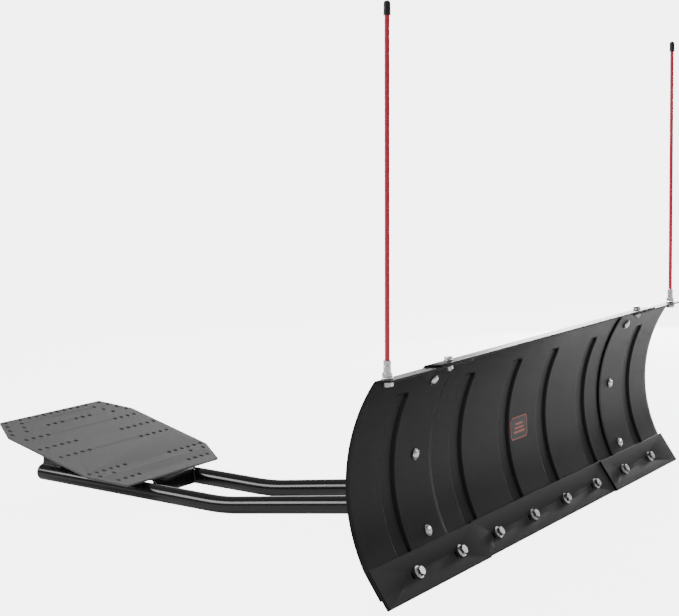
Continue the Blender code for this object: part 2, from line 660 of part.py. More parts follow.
for word, side in (("left", -1), ("right", 1)):
    path = [(side * TUBE_X, y, z) for y, z in tube_path(TUBE_FRONT_Y, TUBE_END_Y)]
    bore = [(side * TUBE_X, y, z) for y, z in tube_path(TUBE_FRONT_Y - 0.02, TUBE_END_Y + 0.02)]
    tube = add_mesh(f"push_tube_{word}", round_bar("push_tube", path, TUBE_R, 4), gloss_black, smooth=0.6)
    cut(tube, round_bar("tube_bore", bore, TUBE_BORE_R, 4))
    # the plug closes the tube's rear end
    turn = Matrix.Rotation(math.atan(TUBE_REAR_SLOPE), 4, "X") @ Matrix.Rotation(-math.pi / 2, 4, "X")
    end = Matrix.Translation((side * TUBE_X, TUBE_END_Y, tube_height(TUBE_END_Y)))
    lip = GAP * 2
    plug = [(0.0, lip + 0.0045), (0.013, lip + 0.0040), (TUBE_R - 0.001, lip + 0.0015), (TUBE_R - 0.001, lip),
            (TUBE_BORE_R - 0.0012, lip), (TUBE_BORE_R - 0.0012, -0.014), (0.0, -0.014)]
    turned(f"tube_plug_{word}", plug, black_vinyl, end @ turn)

cross_low, cross_high = CROSS_TUBE_Z, CROSS_TUBE_Z + CROSS_TUBE
cross_front = KING_Y + 0.0035 - CROSS_TUBE / 2
cross_tube = add_mesh("front_cross_tube", box_mesh("cross", (-CROSS_TUBE_HALF, cross_front, cross_low),
                                                   (CROSS_TUBE_HALF, cross_front + CROSS_TUBE, cross_high)),
                      gloss_black)
wall = CROSS_TUBE_WALL
cut(cross_tube, box_mesh("cross_bore", (-0.2, cross_front + wall, cross_low + wall),
                         (0.2, cross_front + CROSS_TUBE - wall, cross_high - wall)))
cut(cross_tube, rod_mesh("king_bore", (0, KING_Y, 0), (0, KING_Y, 0.2), KING_R + GAP))

pivot_outline = [(-PIVOT_PLATE_R, KING_Y - 0.019), (PIVOT_PLATE_R, KING_Y - 0.019)]
pivot_outline += arc((0.0, KING_Y), PIVOT_PLATE_R, 0, 180, 20)
pivot_holes = [circle(0.0, KING_Y, KING_R + GAP)]
for k in range(-INDEX_HOLES_ASIDE, INDEX_HOLES_ASIDE + 1):
    spin = math.pi / 2 + k * INDEX_STEP
    pivot_holes.append(circle(INDEX_R * math.cos(spin), KING_Y + INDEX_R * math.sin(spin), INDEX_PIN_R + GAP))
add_mesh("pivot_plate", flat_mesh("pivot_plate", pivot_outline, PLATE, pivot_holes), black_powder,
         Matrix.Translation((0.0, 0.0, pivot_plate_low + PLATE / 2)))

at_king = Matrix.Translation((0.0, KING_Y, 0.0))
king_seat = swivel_top + GAP
king_profile = [(0.0, king_seat + 0.012), (0.010, king_seat + 0.012), (0.0125, king_seat + 0.0105),
                (0.0125, king_seat + 0.0026), (0.0145, king_seat + 0.0026), (0.0145, king_seat),
                (KING_R, king_seat), (KING_R, cross_low - 0.016), (0.0, cross_low - 0.016)]
turned("king_bolt", king_profile, zinc, at_king)
nut_seat = cross_low - GAP
nut_profile = [(0.0125, nut_seat), (0.0125, nut_seat - 0.013), (KING_R + GAP, nut_seat - 0.013),
               (KING_R + GAP, nut_seat)]
turned("king_nut", nut_profile, zinc, at_king)

# lift bar across the tubes and its loop
lift_z = tube_height(LIFT_Y) + TUBE_R + LIFT_BAR_R + 2 * GAP
LIFT_HALF = 0.118
add_mesh("lift_bar", rod_mesh("lift_bar", (-LIFT_HALF, LIFT_Y, lift_z), (LIFT_HALF, LIFT_Y, lift_z), LIFT_BAR_R),
         gloss_black, smooth=0.6)
LOOP_R = 0.022
LOOP_LEG = 0.020             # straight part, below the bow
LOOP_WIRE_R = 0.005
loop_foot = lift_z + LIFT_BAR_R + GAP
loop_points = [(-LOOP_R, LIFT_Y, loop_foot), (-LOOP_R, LIFT_Y, loop_foot + LOOP_LEG)]
loop_points += [(x, LIFT_Y, loop_foot + LOOP_LEG + z) for x, z in arc((0, 0), LOOP_R, 165, 15, 10)]
loop_points += [(LOOP_R, LIFT_Y, loop_foot + LOOP_LEG), (LOOP_R, LIFT_Y, loop_foot)]
add_mesh("lift_loop", round_bar("lift_loop", loop_points, LOOP_WIRE_R), zinc, smooth=0.6)

# rear cross angle: front leg upright, top leg running back
angle_half = TUBE_X - TUBE_R - GAP
angle_outline = [(CROSS_ANGLE_Y, CROSS_ANGLE_TOP), (CROSS_ANGLE_Y + CROSS_ANGLE_LEG, CROSS_ANGLE_TOP),
                 (CROSS_ANGLE_Y + CROSS_ANGLE_LEG, CROSS_ANGLE_TOP - CROSS_ANGLE_THICK),
                 (CROSS_ANGLE_Y + CROSS_ANGLE_THICK, CROSS_ANGLE_TOP - CROSS_ANGLE_THICK),
                 (CROSS_ANGLE_Y + CROSS_ANGLE_THICK, CROSS_ANGLE_TOP - CROSS_ANGLE_LEG),
                 (CROSS_ANGLE_Y, CROSS_ANGLE_TOP - CROSS_ANGLE_LEG)]
add_mesh("rear_cross_angle", flat_mesh("rear_cross_angle", angle_outline, 2 * angle_half), gloss_black, SIDE_VIEW)

# rear hinge lugs on top of the tubes
LUG_THICK = 0.008
lug_front, lug_back = 1.222, 1.286


def tube_top(y):
    return tube_height(y) + TUBE_R / math.cos(math.atan(TUBE_REAR_SLOPE)) + GAP


lug_outline = [(lug_front, tube_top(lug_front)), (lug_back, tube_top(lug_back)), (lug_back - 0.008, HINGE_Z - 0.002)]
lug_outline += arc((HINGE_Y, HINGE_Z), 0.013, 10, 170, 7)
for word, side in (("left", -1), ("right", 1)):
    mesh = flat_mesh(f"hinge_lug_{word}", lug_outline, LUG_THICK, [circle(HINGE_Y, HINGE_Z, HINGE_R + GAP)])
    add_mesh(f"hinge_lug_{word}", mesh, gloss_black, side_plate(side * TUBE_X))

# ---- mount plate --------------------------------------------------------
nose_y, nose_z = MOUNT_FRONT
plate_place = (Matrix.Translation((0.0, nose_y, nose_z)) @ Matrix.Rotation(MOUNT_TILT, 4, "X")
               @ Matrix.Translation((0.0, 0.0, -MOUNT_THICK / 2)))


def hole_row(count, inner_x, y):
    """A row on both sides of the middle, at an even pitch outwards from inner_x."""
    return [(side * (inner_x + HOLE_PITCH * k), y) for side in (-1, 1) for k in range(count)]


mount_holes = hole_row(4, 0.0905, 0.030) + hole_row(6, 0.0805, 0.083)
mount_holes += hole_row(1, 0.1395, 0.063) + hole_row(1, 0.1867, 0.063)
mount_holes += hole_row(5, 0.0925, 0.182) + hole_row(6, 0.0815, 0.236) + hole_row(4, 0.118, 0.291)
mount_holes += hole_row(3, 0.0245, 0.335)
mount_holes += hole_row(4, 0.0122, 0.3865) + hole_row(1, 0.1145, 0.3865) + hole_row(1, 0.163, 0.3865)
for k in range(1, 4):
    mount_holes += hole_row(1, 0.163 + 0.0124 * k, 0.3885 - 0.0205 * k)
    mount_holes += hole_row(1, 0.1145 + 0.0125 * k, 0.3895 - 0.0205 * k)
mount_mesh = flat_mesh("mount_plate", MOUNT_OUTLINE, MOUNT_THICK,
                       [circle(x, y, MOUNT_HOLE_R, 6) for x, y in mount_holes])
add_mesh("mount_plate", mount_mesh, speckled, plate_place, parent=mount)

# clevis channels under the plate: two legs and a web, open downwards
CLEVIS_HALF = 0.0155
CLEVIS_WALL = 0.004
plate_under = Matrix.Translation((0.0, nose_y, nose_z)) @ Matrix.Rotation(MOUNT_TILT, 4, "X")
hinge_local = plate_under.inverted() @ Vector((0.0, HINGE_Y, HINGE_Z))
web_top = -MOUNT_THICK - GAP
leg_low = hinge_local.z
for word, side in (("left", -1), ("right", 1)):
    x = side * TUBE_X
    outer = [(hinge_local.y - 0.022, web_top), (hinge_local.y - 0.015, leg_low)]
    outer += arc((hinge_local.y, leg_low), 0.015, 180, 360, 8)
    outer += [(hinge_local.y + 0.022, web_top)]
    body = flat_mesh(f"clevis_{word}", outer, 2 * CLEVIS_HALF)
    clevis = add_mesh(f"clevis_{word}", body, black_powder, plate_under @ side_plate(x), parent=mount)
    slot_low = (x - CLEVIS_HALF + CLEVIS_WALL, hinge_local.y - 0.05, leg_low - 0.05)
    slot_high = (x + CLEVIS_HALF - CLEVIS_WALL, hinge_local.y + 0.05, web_top - CLEVIS_WALL)
    cut(clevis, box_mesh("clevis_slot", slot_low, slot_high), place=plate_under)
    cut(clevis, rod_mesh("clevis_bore", (x - 0.05, HINGE_Y, HINGE_Z), (x + 0.05, HINGE_Y, HINGE_Z),
                         HINGE_R + GAP))
HINGE_HALF = 0.114
add_mesh("mount_hinge_rod", rod_mesh("mount_hinge_rod", (-HINGE_HALF, HINGE_Y, HINGE_Z),
                                     (HINGE_HALF, HINGE_Y, HINGE_Z), HINGE_R), zinc, parent=mount, smooth=0.6)
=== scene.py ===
# %% [markdown]
# # A plow blade for a small utility vehicle
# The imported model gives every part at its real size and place. This lesson builds the looks around
# it: smooth pressed sheet, hexagon hardware, wound springs, welds, and a finish for each surface.

# %% The fixed frame
import math

import bmesh
import bpy
from mathutils import Matrix, Vector, noise


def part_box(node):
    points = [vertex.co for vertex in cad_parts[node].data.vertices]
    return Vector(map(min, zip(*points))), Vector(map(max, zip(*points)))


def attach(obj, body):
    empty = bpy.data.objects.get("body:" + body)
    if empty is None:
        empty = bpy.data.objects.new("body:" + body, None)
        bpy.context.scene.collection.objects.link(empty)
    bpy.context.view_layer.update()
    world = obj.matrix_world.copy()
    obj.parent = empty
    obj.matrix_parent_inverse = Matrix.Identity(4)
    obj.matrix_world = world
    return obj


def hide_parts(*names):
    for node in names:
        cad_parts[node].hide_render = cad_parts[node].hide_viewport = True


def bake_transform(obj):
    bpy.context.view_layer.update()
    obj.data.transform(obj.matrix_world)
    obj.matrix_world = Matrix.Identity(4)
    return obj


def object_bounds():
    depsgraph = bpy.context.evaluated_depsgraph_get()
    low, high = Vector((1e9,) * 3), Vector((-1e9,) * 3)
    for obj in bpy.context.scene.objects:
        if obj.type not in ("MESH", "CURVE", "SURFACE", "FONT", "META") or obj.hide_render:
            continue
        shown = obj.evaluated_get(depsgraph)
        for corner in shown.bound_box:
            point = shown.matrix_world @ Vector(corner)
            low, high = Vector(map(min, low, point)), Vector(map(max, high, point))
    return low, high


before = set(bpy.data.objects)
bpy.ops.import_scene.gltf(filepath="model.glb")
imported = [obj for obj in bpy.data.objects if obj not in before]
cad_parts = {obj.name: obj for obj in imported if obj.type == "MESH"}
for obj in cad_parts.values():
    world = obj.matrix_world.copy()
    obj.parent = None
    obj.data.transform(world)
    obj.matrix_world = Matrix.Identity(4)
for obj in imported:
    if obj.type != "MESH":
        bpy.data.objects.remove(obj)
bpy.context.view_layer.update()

# %% [markdown]
# Everything here is drawn with y = 0 at the foot of the cutting edge, because that is how a plow is
# measured in a workshop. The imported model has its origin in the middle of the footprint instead.
# Drawing in workshop coordinates and moving each finished mesh once is simpler than adding the
# difference to every number.

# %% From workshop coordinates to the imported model
NOSE_Y = 0.964           # the mount plate's nose behind the foot of the cutting edge
shift = NOSE_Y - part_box("mount_plate")[0].y
TO_ROW = Matrix.Translation((0.0, -shift, 0.0))
print("workshop origin to model origin:", round(shift, 4), "m")

# %% [markdown]
# ## The set
# A product like this is shot on a white sweep under large soft lights. The camera stands low, well
# to the left of the blade and close enough for strong perspective, and it is rolled a little.

# %% Camera
FOCAL_MM, SENSOR_MM = 79.53, 36.0
CAMERA_AT = (-2.67163, -1.24861, 0.66277)
CAMERA_RIGHT = (0.536629, -0.840607, -0.073544)
CAMERA_FORWARD = (0.837946, 0.541131, -0.070872)
right, forward = Vector(CAMERA_RIGHT), Vector(CAMERA_FORWARD)
up = right.cross(forward)
lens = bpy.data.cameras.new("camera")
lens.lens = FOCAL_MM
lens.sensor_width = SENSOR_MM
camera = bpy.data.objects.new("camera", lens)
turned = Matrix((right, up, -forward)).transposed().to_4x4()
camera.matrix_world = TO_ROW @ Matrix.Translation(CAMERA_AT) @ turned
bpy.context.scene.collection.objects.link(camera)
bpy.context.scene.camera = camera
print("camera at", tuple(round(v, 3) for v in camera.matrix_world.translation))

# %% [markdown]
# ## A short way to write materials
# A finish is a small network of nodes. Written out link by link, even a simple one fills a page, so
# two classes do the wiring. `Value` wraps a socket and turns Python arithmetic into Math nodes.
# `Wiring` makes any other node from its type, its settings and its inputs, in a material or in the
# sky. A `Finish` is the wiring of one material.

# %% Values that change over a surface
class Value:
    """A socket that can be used in arithmetic. Each operation adds one Math node."""

    def __init__(self, finish, socket):
        self.finish = finish
        self.socket = socket

    def math(self, operation, first, second):
        return self.finish.add("ShaderNodeMath", {"operation": operation}, {0: first, 1: second})

    def __add__(self, other):
        return self.math("ADD", self, other)

    def __sub__(self, other):
        return self.math("SUBTRACT", self, other)

    def __rsub__(self, other):
        return self.math("SUBTRACT", other, self)

    def __mul__(self, other):
        return self.math("MULTIPLY", self, other)

    __radd__ = __add__
    __rmul__ = __mul__


# %% Nodes from their type, settings and inputs
class Wiring:
    """The nodes of one material or sky."""

    def __init__(self, tree):
        self.tree = tree

    def put(self, socket, value):
        if isinstance(value, Value):
            self.tree.links.new(value.socket, socket)
        elif isinstance(value, tuple) and len(value) == 3 and socket.type == "RGBA":
            socket.default_value = (*value, 1.0)
        else:
            socket.default_value = value

    def add(self, kind, settings=None, inputs=None, out=0):
        node = self.tree.nodes.new(kind)
        for key, value in (settings or {}).items():
            if key == "stops":
                for (spot, grey), stop in zip(value, node.color_ramp.elements):
                    stop.position = spot
                    stop.color = (grey, grey, grey, 1.0)
            else:
                setattr(node, key, value)
        for key, value in (inputs or {}).items():
            self.put(node.inputs[key], value)
        return Value(self, node.outputs[out])


# %% A finish
NOISE_ROUGHNESS = 0.55


class Finish(Wiring):
    """One material. slot is the record's name for it; shader sockets are given by name."""

    def __init__(self, name, slot=None, **sockets):
        self.slot = slot or name
        self.material = bpy.data.materials.new(name)
        self.material.use_nodes = True
        super().__init__(self.material.node_tree)
        self.shader = self.tree.nodes["Principled BSDF"]
        self.place = self.add("ShaderNodeTexCoord", out="Object")
        for key, value in sockets.items():
            self.put(self.shader.inputs[key.replace("_", " ")], value)

    def set(self, name, value):
        self.put(self.shader.inputs[name], value)

    def noise(self, scale, detail=3.0, stretch=(1, 1, 1)):
        """Noise with `scale` lumps a metre, stretched along the axes where wanted."""
        where = self.add("ShaderNodeVectorMath", {"operation": "MULTIPLY"}, {0: self.place, 1: stretch})
        return self.add("ShaderNodeTexNoise", {"noise_dimensions": "3D"},
                        {"Vector": where, "Scale": scale, "Detail": detail, "Roughness": NOISE_ROUGHNESS})

    def ramp(self, value, low, high):
        """0 below low, 1 above high."""
        return self.add("ShaderNodeValToRGB", {"stops": ((low, 0.0), (high, 1.0))}, {0: value})

    def mix(self, amount, first, second):
        return self.add("ShaderNodeMix", {"data_type": "RGBA"}, {0: amount, 6: first, 7: second}, out=2)

    def bump(self, height, strength, distance):
        self.set("Normal", self.add("ShaderNodeBump", None,
                                    {"Height": height, "Strength": strength, "Distance": distance}))


# %% [markdown]
# ## The finishes
# The sheet has a satin powder coat. Powder melts into a skin with a fine orange peel, so its bump is
# a soft noise of about a millimetre, and its gloss varies slowly where the coat is thicker.

# %% Powder coat on the sheet
def powder_coat(name, dark, light, gloss, peel=700.0, peel_height=0.00006):
    finish = Finish(name)
    clouds = finish.noise(9.0)
    peel_noise = finish.noise(peel, 2.0)
    finish.set("Base Color", finish.mix(clouds, dark, light))
    finish.set("Roughness", gloss + (clouds - 0.5) * 0.10 + (peel_noise - 0.5) * 0.06)
    finish.bump(peel_noise, 0.35, peel_height)
    return finish


satin_black = powder_coat("satin_black", (0.0060, 0.0060, 0.0065), (0.0095, 0.0095, 0.0100), 0.36)
edge_black = powder_coat("edge_black", (0.0065, 0.0065, 0.0070), (0.0100, 0.0100, 0.0105), 0.40)
for coat in (satin_black, edge_black):
    coat.set("Specular IOR Level", 0.17)
gloss_black = powder_coat("gloss_black", (0.0035, 0.0035, 0.0038), (0.0060, 0.0060, 0.0065), 0.16, peel=260.0,
                          peel_height=0.00004)
gloss_black.set("Specular IOR Level", 0.35)
gloss_black.set("Coat Weight", 0.15)
gloss_black.set("Coat Roughness", 0.08)

# %% [markdown]
# The mount plate has a textured powder: small lumps with pale specks on them.

# %% Textured coat on the mount plate
textured_black = Finish("textured_black", "speckled_black")
grains = textured_black.noise(520.0, 2.0)
specks = textured_black.ramp(textured_black.noise(900.0, 1.0), 0.60, 0.70)
clouds = textured_black.noise(7.0)
coat = textured_black.mix(clouds, (0.066, 0.066, 0.068), (0.086, 0.086, 0.088))
textured_black.set("Base Color", textured_black.mix(specks * 0.55, coat, (0.16, 0.16, 0.165)))
textured_black.set("Roughness", 0.50 + (grains - 0.5) * 0.25)
textured_black.bump(grains, 0.5, 0.00018)

# %% [markdown]
# Zinc plate is bright, slightly blue metal with a faint yellow cast in places, and it is never
# perfectly smooth. Spring wire gets a darker relative of the same finish.

# %% Zinc plate, spring wire
def plated(name, pale, warm, gloss, drawn=(1, 1, 1)):
    finish = Finish(name, Metallic=1.0)
    clouds = finish.noise(120.0, 3.0, stretch=drawn)
    scratches = finish.noise(1500.0, 2.0, stretch=drawn)
    finish.set("Base Color", finish.mix(finish.ramp(clouds, 0.35, 0.75), pale, warm))
    finish.set("Roughness", gloss + (clouds - 0.5) * 0.22 + (scratches - 0.5) * 0.12)
    finish.bump(scratches, 0.25, 0.00004)
    return finish


zinc = plated("zinc", (0.90, 0.91, 0.93), (0.82, 0.81, 0.77), 0.25)
spring_steel = plated("spring_steel", (0.42, 0.43, 0.45), (0.33, 0.32, 0.31), 0.33)

# %% [markdown]
# The marker rods are pulled fibreglass: red resin over fibres that run along the rod, under a clear
# glossy skin. The caps and tube plugs are soft dipped vinyl with almost no shine.

# %% Red fibreglass, vinyl, label
red_fibreglass = Finish("red_fibreglass", "red_rod", Roughness=0.24)
fibres = red_fibreglass.noise(1400.0, 2.0, stretch=(1, 1, 0.012))
red_fibreglass.set("Base Color", red_fibreglass.mix(fibres, (0.60, 0.014, 0.045), (0.80, 0.045, 0.095)))
red_fibreglass.set("Coat Weight", 0.5)
red_fibreglass.set("Coat Roughness", 0.05)
red_fibreglass.bump(fibres, 0.15, 0.00005)

black_vinyl = Finish("black_vinyl")
skin = black_vinyl.noise(600.0, 3.0)
black_vinyl.set("Base Color", black_vinyl.mix(skin, (0.010, 0.010, 0.010), (0.018, 0.018, 0.019)))
black_vinyl.set("Roughness", 0.48 + (skin - 0.5) * 0.2)
black_vinyl.bump(skin, 0.3, 0.0001)


def print_ink(name, thin, full):
    finish = Finish(name, "satin_black")
    screen = finish.noise(1100.0, 2.0)
    finish.set("Base Color", finish.mix(screen, thin, full))
    finish.set("Roughness", 0.38 + (screen - 0.5) * 0.1)
    return finish


label_orange = print_ink("label_orange", (0.42, 0.085, 0.055), (0.55, 0.130, 0.085))
label_black = print_ink("label_black", (0.012, 0.011, 0.011), (0.022, 0.020, 0.020))
print(len(bpy.data.materials), "materials")

# %% [markdown]
# ## Turning meshes into pieces
# A piece is a mesh with a finish that rides on one of the model's bodies. Most pieces stand for a
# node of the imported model, which then isn't shown.

# %% Showing a piece
SIDES = (("left", -1), ("right", 1))


def show(name, mesh, finish, body, *stands_for, sharp=38.0):
    """Makes a piece. body is None for a piece that is attached to no body."""
    mesh.transform(TO_ROW)
    mesh.materials.clear()
    mesh.materials.append(finish.material)
    mesh.shade_smooth()
    mesh.set_sharp_from_angle(angle=math.radians(sharp))
    piece = bpy.data.objects.new(name, mesh)
    bpy.context.scene.collection.objects.link(piece)
    if body:
        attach(piece, body)
    if stands_for:
        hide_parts(*stands_for)
    return piece


def mesh_from(bm):
    bmesh.ops.recalc_face_normals(bm, faces=bm.faces)
    mesh = bpy.data.meshes.new("mesh")
    bm.to_mesh(mesh)
    bm.free()
    return mesh


def joined(meshes):
    """Several meshes as one."""
    bm = bmesh.new()
    for mesh in meshes:
        bm.from_mesh(mesh)
    return mesh_from(bm)


# %% [markdown]
# ### Plates
# Flat steel is cut from an outline. A filled 2D curve handles any outline with any holes, and a
# narrow bevel on its rims catches the light as a real cut edge does.

# %% Plates cut from an outline
def circle(x, y, radius, sides=28):
    return [(x + radius * math.cos(math.tau * k / sides), y + radius * math.sin(math.tau * k / sides))
            for k in range(sides)]


def arc(centre, radius, start, end, count):
    """Points of an arc; angles in degrees."""
    turns = [math.radians(start + (end - start) * k / count) for k in range(count + 1)]
    return [(centre[0] + radius * math.cos(a), centre[1] + radius * math.sin(a)) for a in turns]


def plate(outline, thickness, holes=(), rim=0.0006, place=Matrix.Identity(4)):
    curve = bpy.data.curves.new("outline", "CURVE")
    curve.dimensions = "2D"
    curve.fill_mode = "BOTH"
    curve.extrude = thickness / 2
    for loop in (outline, *holes):
        spline = curve.splines.new("POLY")
        spline.points.add(len(loop) - 1)
        for point, (x, y) in zip(spline.points, loop):
            point.co = (x, y, 0.0, 1.0)
        spline.use_cyclic_u = True
    holder = bpy.data.objects.new("outline", curve)
    bpy.context.scene.collection.objects.link(holder)
    mesh = bpy.data.meshes.new_from_object(holder.evaluated_get(bpy.context.evaluated_depsgraph_get()))
    bpy.data.objects.remove(holder, do_unlink=True)
    bpy.data.curves.remove(curve)
    bm = bmesh.new()
    bm.from_mesh(mesh)
    bmesh.ops.remove_doubles(bm, verts=bm.verts, dist=1e-6)
    bmesh.ops.recalc_face_normals(bm, faces=bm.faces)
    rims = [e for e in bm.edges if len(e.link_faces) == 2 and abs(e.verts[0].co.z - e.verts[1].co.z) < 1e-7
            and 0.5 < sum(abs(face.normal.z) for face in e.link_faces) < 1.5]
    bmesh.ops.bevel(bm, geom=rims, offset=rim, segments=2, profile=0.5, affect="EDGES", clamp_overlap=True)
    bm.transform(place)
    return mesh_from(bm)


PLATE_SHARP = 24.0           # degrees


def show_plate(*args):
    """Shows a plate. Its flat faces end at the rims' bevels, so that they stay evenly shaded."""
    return show(*args, sharp=PLATE_SHARP)


SIDE_VIEW = Matrix(((0, 0, 1, 0), (1, 0, 0, 0), (0, 1, 0, 0), (0, 0, 0, 1)))


def side_plate(x):
    """Places an outline drawn in side view (y, z) at a distance across the plow."""
    return Matrix.Translation((x, 0.0, 0.0)) @ SIDE_VIEW


# %% [markdown]
# ### Turned and hexagonal pieces
# A bolt, a nut and a washer are all rings stacked along an axis. One function lofts the rings. A
# ring's radius may change with the angle, which gives hexagons, and the chamfer of a hexagon head is
# simply the smaller of the hexagon and a cone.

# %% Stacks of rings
RING_SIDES = 48
CHAMFER_START = 0.475        # radius of a hexagon's flat top, as a share of its size across flats
CHAMFER_DROP = 0.55          # how far a chamfer falls for each unit outwards


def hexagon(across):
    """Radius of a hexagon at each of the ring's angles, from its size across flats."""
    sixth = math.tau / 6
    return [across / 2 / math.cos((math.tau * k / RING_SIDES) % sixth - sixth / 2)
            for k in range(RING_SIDES)]


def band(bm, first, second):
    """The faces between two loops of points."""
    sides = len(first)
    for k in range(sides):
        bm.faces.new((first[k], second[k], second[(k + 1) % sides], first[(k + 1) % sides]))


def stack(rings, place=Matrix.Identity(4), hollow=False):
    """A solid through rings of (height, radius or list of radii), from the top down. The rings of a
    hollow one are a closed section, so its last ring joins its first."""
    bm = bmesh.new()
    loops = []
    for height, radii in rings:
        radii = radii if isinstance(radii, list) else [radii] * RING_SIDES
        turns = [math.tau * k / RING_SIDES for k in range(RING_SIDES)]
        loops.append([bm.verts.new((r * math.cos(a), r * math.sin(a), height)) for r, a in zip(radii, turns)])
    for upper, lower in zip(loops, loops[1:]):
        band(bm, upper, lower)
    if hollow:
        band(bm, loops[-1], loops[0])
    else:
        bm.faces.new(loops[0])
        bm.faces.new(reversed(loops[-1]))
    bm.transform(place)
    return mesh_from(bm)


def hex_rings(low, high, across, both=False):
    """Rings of a hexagon with a chamfered top, and a chamfered foot for a nut."""
    flats = hexagon(across)
    start = across * CHAMFER_START
    run = across / math.sqrt(3) - start
    rings = [(high - run * CHAMFER_DROP * step, [min(r, start + run * step) for r in flats])
             for step in (0.0, 0.25, 0.5, 0.75, 1.0)]
    if both:
        return rings + [(low + (high - h), radii) for h, radii in reversed(rings)]
    return rings + [(low, flats)]


def disc(low, high, radius, soft=0.0003):
    return [(high, radius - soft), (high - soft, radius), (low + soft, radius), (low, radius - soft)]


def thread(low, high, radius, pitch=0.00125):
    """A bolt's end with ridges for its thread and a small point."""
    rings = [(low, radius * 0.80), (low + pitch * 0.6, radius * 0.93)]
    height = low + pitch
    while height < high - pitch / 2:
        rings += [(height, radius), (height + pitch * 0.45, radius * 0.90)]
        height += pitch
    rings.append((high, radius))
    return list(reversed(rings))


def along(start, end, spin=0.0):
    """A frame whose Z runs from start to end, with its origin halfway between."""
    start, end = Vector(start), Vector(end)
    turn = (end - start).to_track_quat("Z", "Y").to_matrix().to_4x4()
    return Matrix.Translation((start + end) / 2) @ turn @ Matrix.Rotation(spin, 4, "Z")


# %% [markdown]
# ### Bars, tubes and welds
# Round bar follows a path with the same section all the way. A pipe is two such skins, joined at the
# ends. A weld is a bar whose thickness swells and falls, because the welder moves in small steps.

# %% Bars along a path
PIPE_SIDES = 56


def path_frames(points):
    """A position and two unit vectors across the path at each point, without twist."""
    points = [Vector(p) for p in points]
    frames, across = [], None
    for k, point in enumerate(points):
        ahead = (points[min(k + 1, len(points) - 1)] - points[max(k - 1, 0)]).normalized()
        if across is None:
            across = ahead.orthogonal().normalized()
        across = (across - ahead * across.dot(ahead)).normalized()
        frames.append((point, across, ahead.cross(across)))
    return frames


def skin(bm, frames, radii, sides):
    """A tube of faces along the frames, open at its ends."""
    turns = [math.tau * k / sides for k in range(sides)]
    loops = [[bm.verts.new(point + radius * (math.cos(a) * across + math.sin(a) * third)) for a in turns]
             for (point, across, third), radius in zip(frames, radii)]
    for first, second in zip(loops, loops[1:]):
        band(bm, first, second)
    return loops


def bar(points, radius, sides=24, soft=0.0008):
    """Round bar with a small chamfer at each end. radius may be a list, one for each point."""
    points = [Vector(p) for p in points]
    radii = radius if isinstance(radius, list) else [radius] * len(points)
    first, last = (points[1] - points[0]).normalized(), (points[-1] - points[-2]).normalized()
    if soft:
        points = [points[0], points[0] + first * soft, *points[1:-1], points[-1] - last * soft, points[-1]]
        radii = [radii[0] - soft, radii[0], *radii[1:-1], radii[-1], radii[-1] - soft]
    bm = bmesh.new()
    loops = skin(bm, path_frames(points), radii, sides)
    bm.faces.new(loops[0])
    bm.faces.new(loops[-1])
    return mesh_from(bm)


def pipe(points, outer, inner):
    bm = bmesh.new()
    frames = path_frames(points)
    skins = [skin(bm, frames, [radius] * len(points), PIPE_SIDES) for radius in (outer, inner)]
    for end in (0, -1):
        band(bm, skins[0][end], skins[1][end])
    return mesh_from(bm)


def resampled(points, step):
    """The path cut into equal short steps."""
    points = [Vector(p) for p in points]
    out = [points[0]]
    for a, b in zip(points, points[1:]):
        count = max(1, round((b - a).length / step))
        out += [a.lerp(b, (k + 1) / count) for k in range(count)]
    return out


WELD_STEP = 0.0009
WELD_RIPPLE = 4              # steps to each ripple
WELD_END, WELD_RISE = 0.45, 0.2   # share of the full size at an end, and its growth each step
WELD_WANDER = 120.0          # lumps a metre


def weld(points, radius):
    """A weld bead. Each ripple rises slowly and drops fast, and the bead wanders a little."""
    points = resampled(points, WELD_STEP)
    radii = []
    for k, point in enumerate(points):
        ripple = (k % WELD_RIPPLE) / WELD_RIPPLE
        taper = min(1.0, WELD_END + WELD_RISE * min(k, len(points) - 1 - k))
        radii.append(radius * taper * (0.90 + 0.16 * ripple + 0.12 * noise.noise(point * WELD_WANDER)))
    return bar(points, radii, sides=10, soft=0.0)


# %% [markdown]
# ## The mouldboard
# The mouldboard is three pressed sheets: a centre section, and two end sections that lap in front of
# it. From the side each is a flange, a bend, a round curve and a straight foot. Stiffening beads are
# pressed backwards, with round corners. The sheet is drawn as a fine grid on its back face, with the
# depth of the nearest bead added at each point, and Solidify gives it its thickness.

# %% Measures of the mouldboard
BLADE_HALF = 0.660
SHEET = 0.003
GAP = 0.0003
LAP = SHEET + GAP
FACE_RADIUS = 0.3032
FACE_CENTRE = (-0.2380, 0.1803)
FLANGE_TOP = 0.3749
FLANGE_FRONT = -0.0365
FLANGE_BEND = 0.0035
FLAT_START = math.radians(-23.0)
FLAT_LEAN = math.radians(29.8)
FLAT_LENGTH = 0.0537
END_SEAM, CENTRE_HALF = 0.380, 0.495
BEAD_DEPTH, BEAD_HALF, BEAD_WALL, BEAD_CORNER = 0.005, 0.0250, 0.0050, 0.0125
BEAD_TOP, BEAD_LOW = 0.3375, 0.040
BEADS = (-0.533, -0.2825, -0.085, 0.085, 0.2825, 0.533)


def face_angle(height, back=0.0):
    return math.asin((height - FACE_CENTRE[1]) / (FACE_RADIUS + back))


def face_point(angle, back=0.0):
    radius = FACE_RADIUS + back
    return Vector((FACE_CENTRE[0] + radius * math.cos(angle), FACE_CENTRE[1] + radius * math.sin(angle)))


def foot_point(down, back=0.0):
    """A point on the straight foot, measured down from where the curve ends."""
    return face_point(FLAT_START, back) - down * Vector((math.sin(FLAT_LEAN), math.cos(FLAT_LEAN)))


# %% The side view of a section
PROFILE_STEP = 0.002


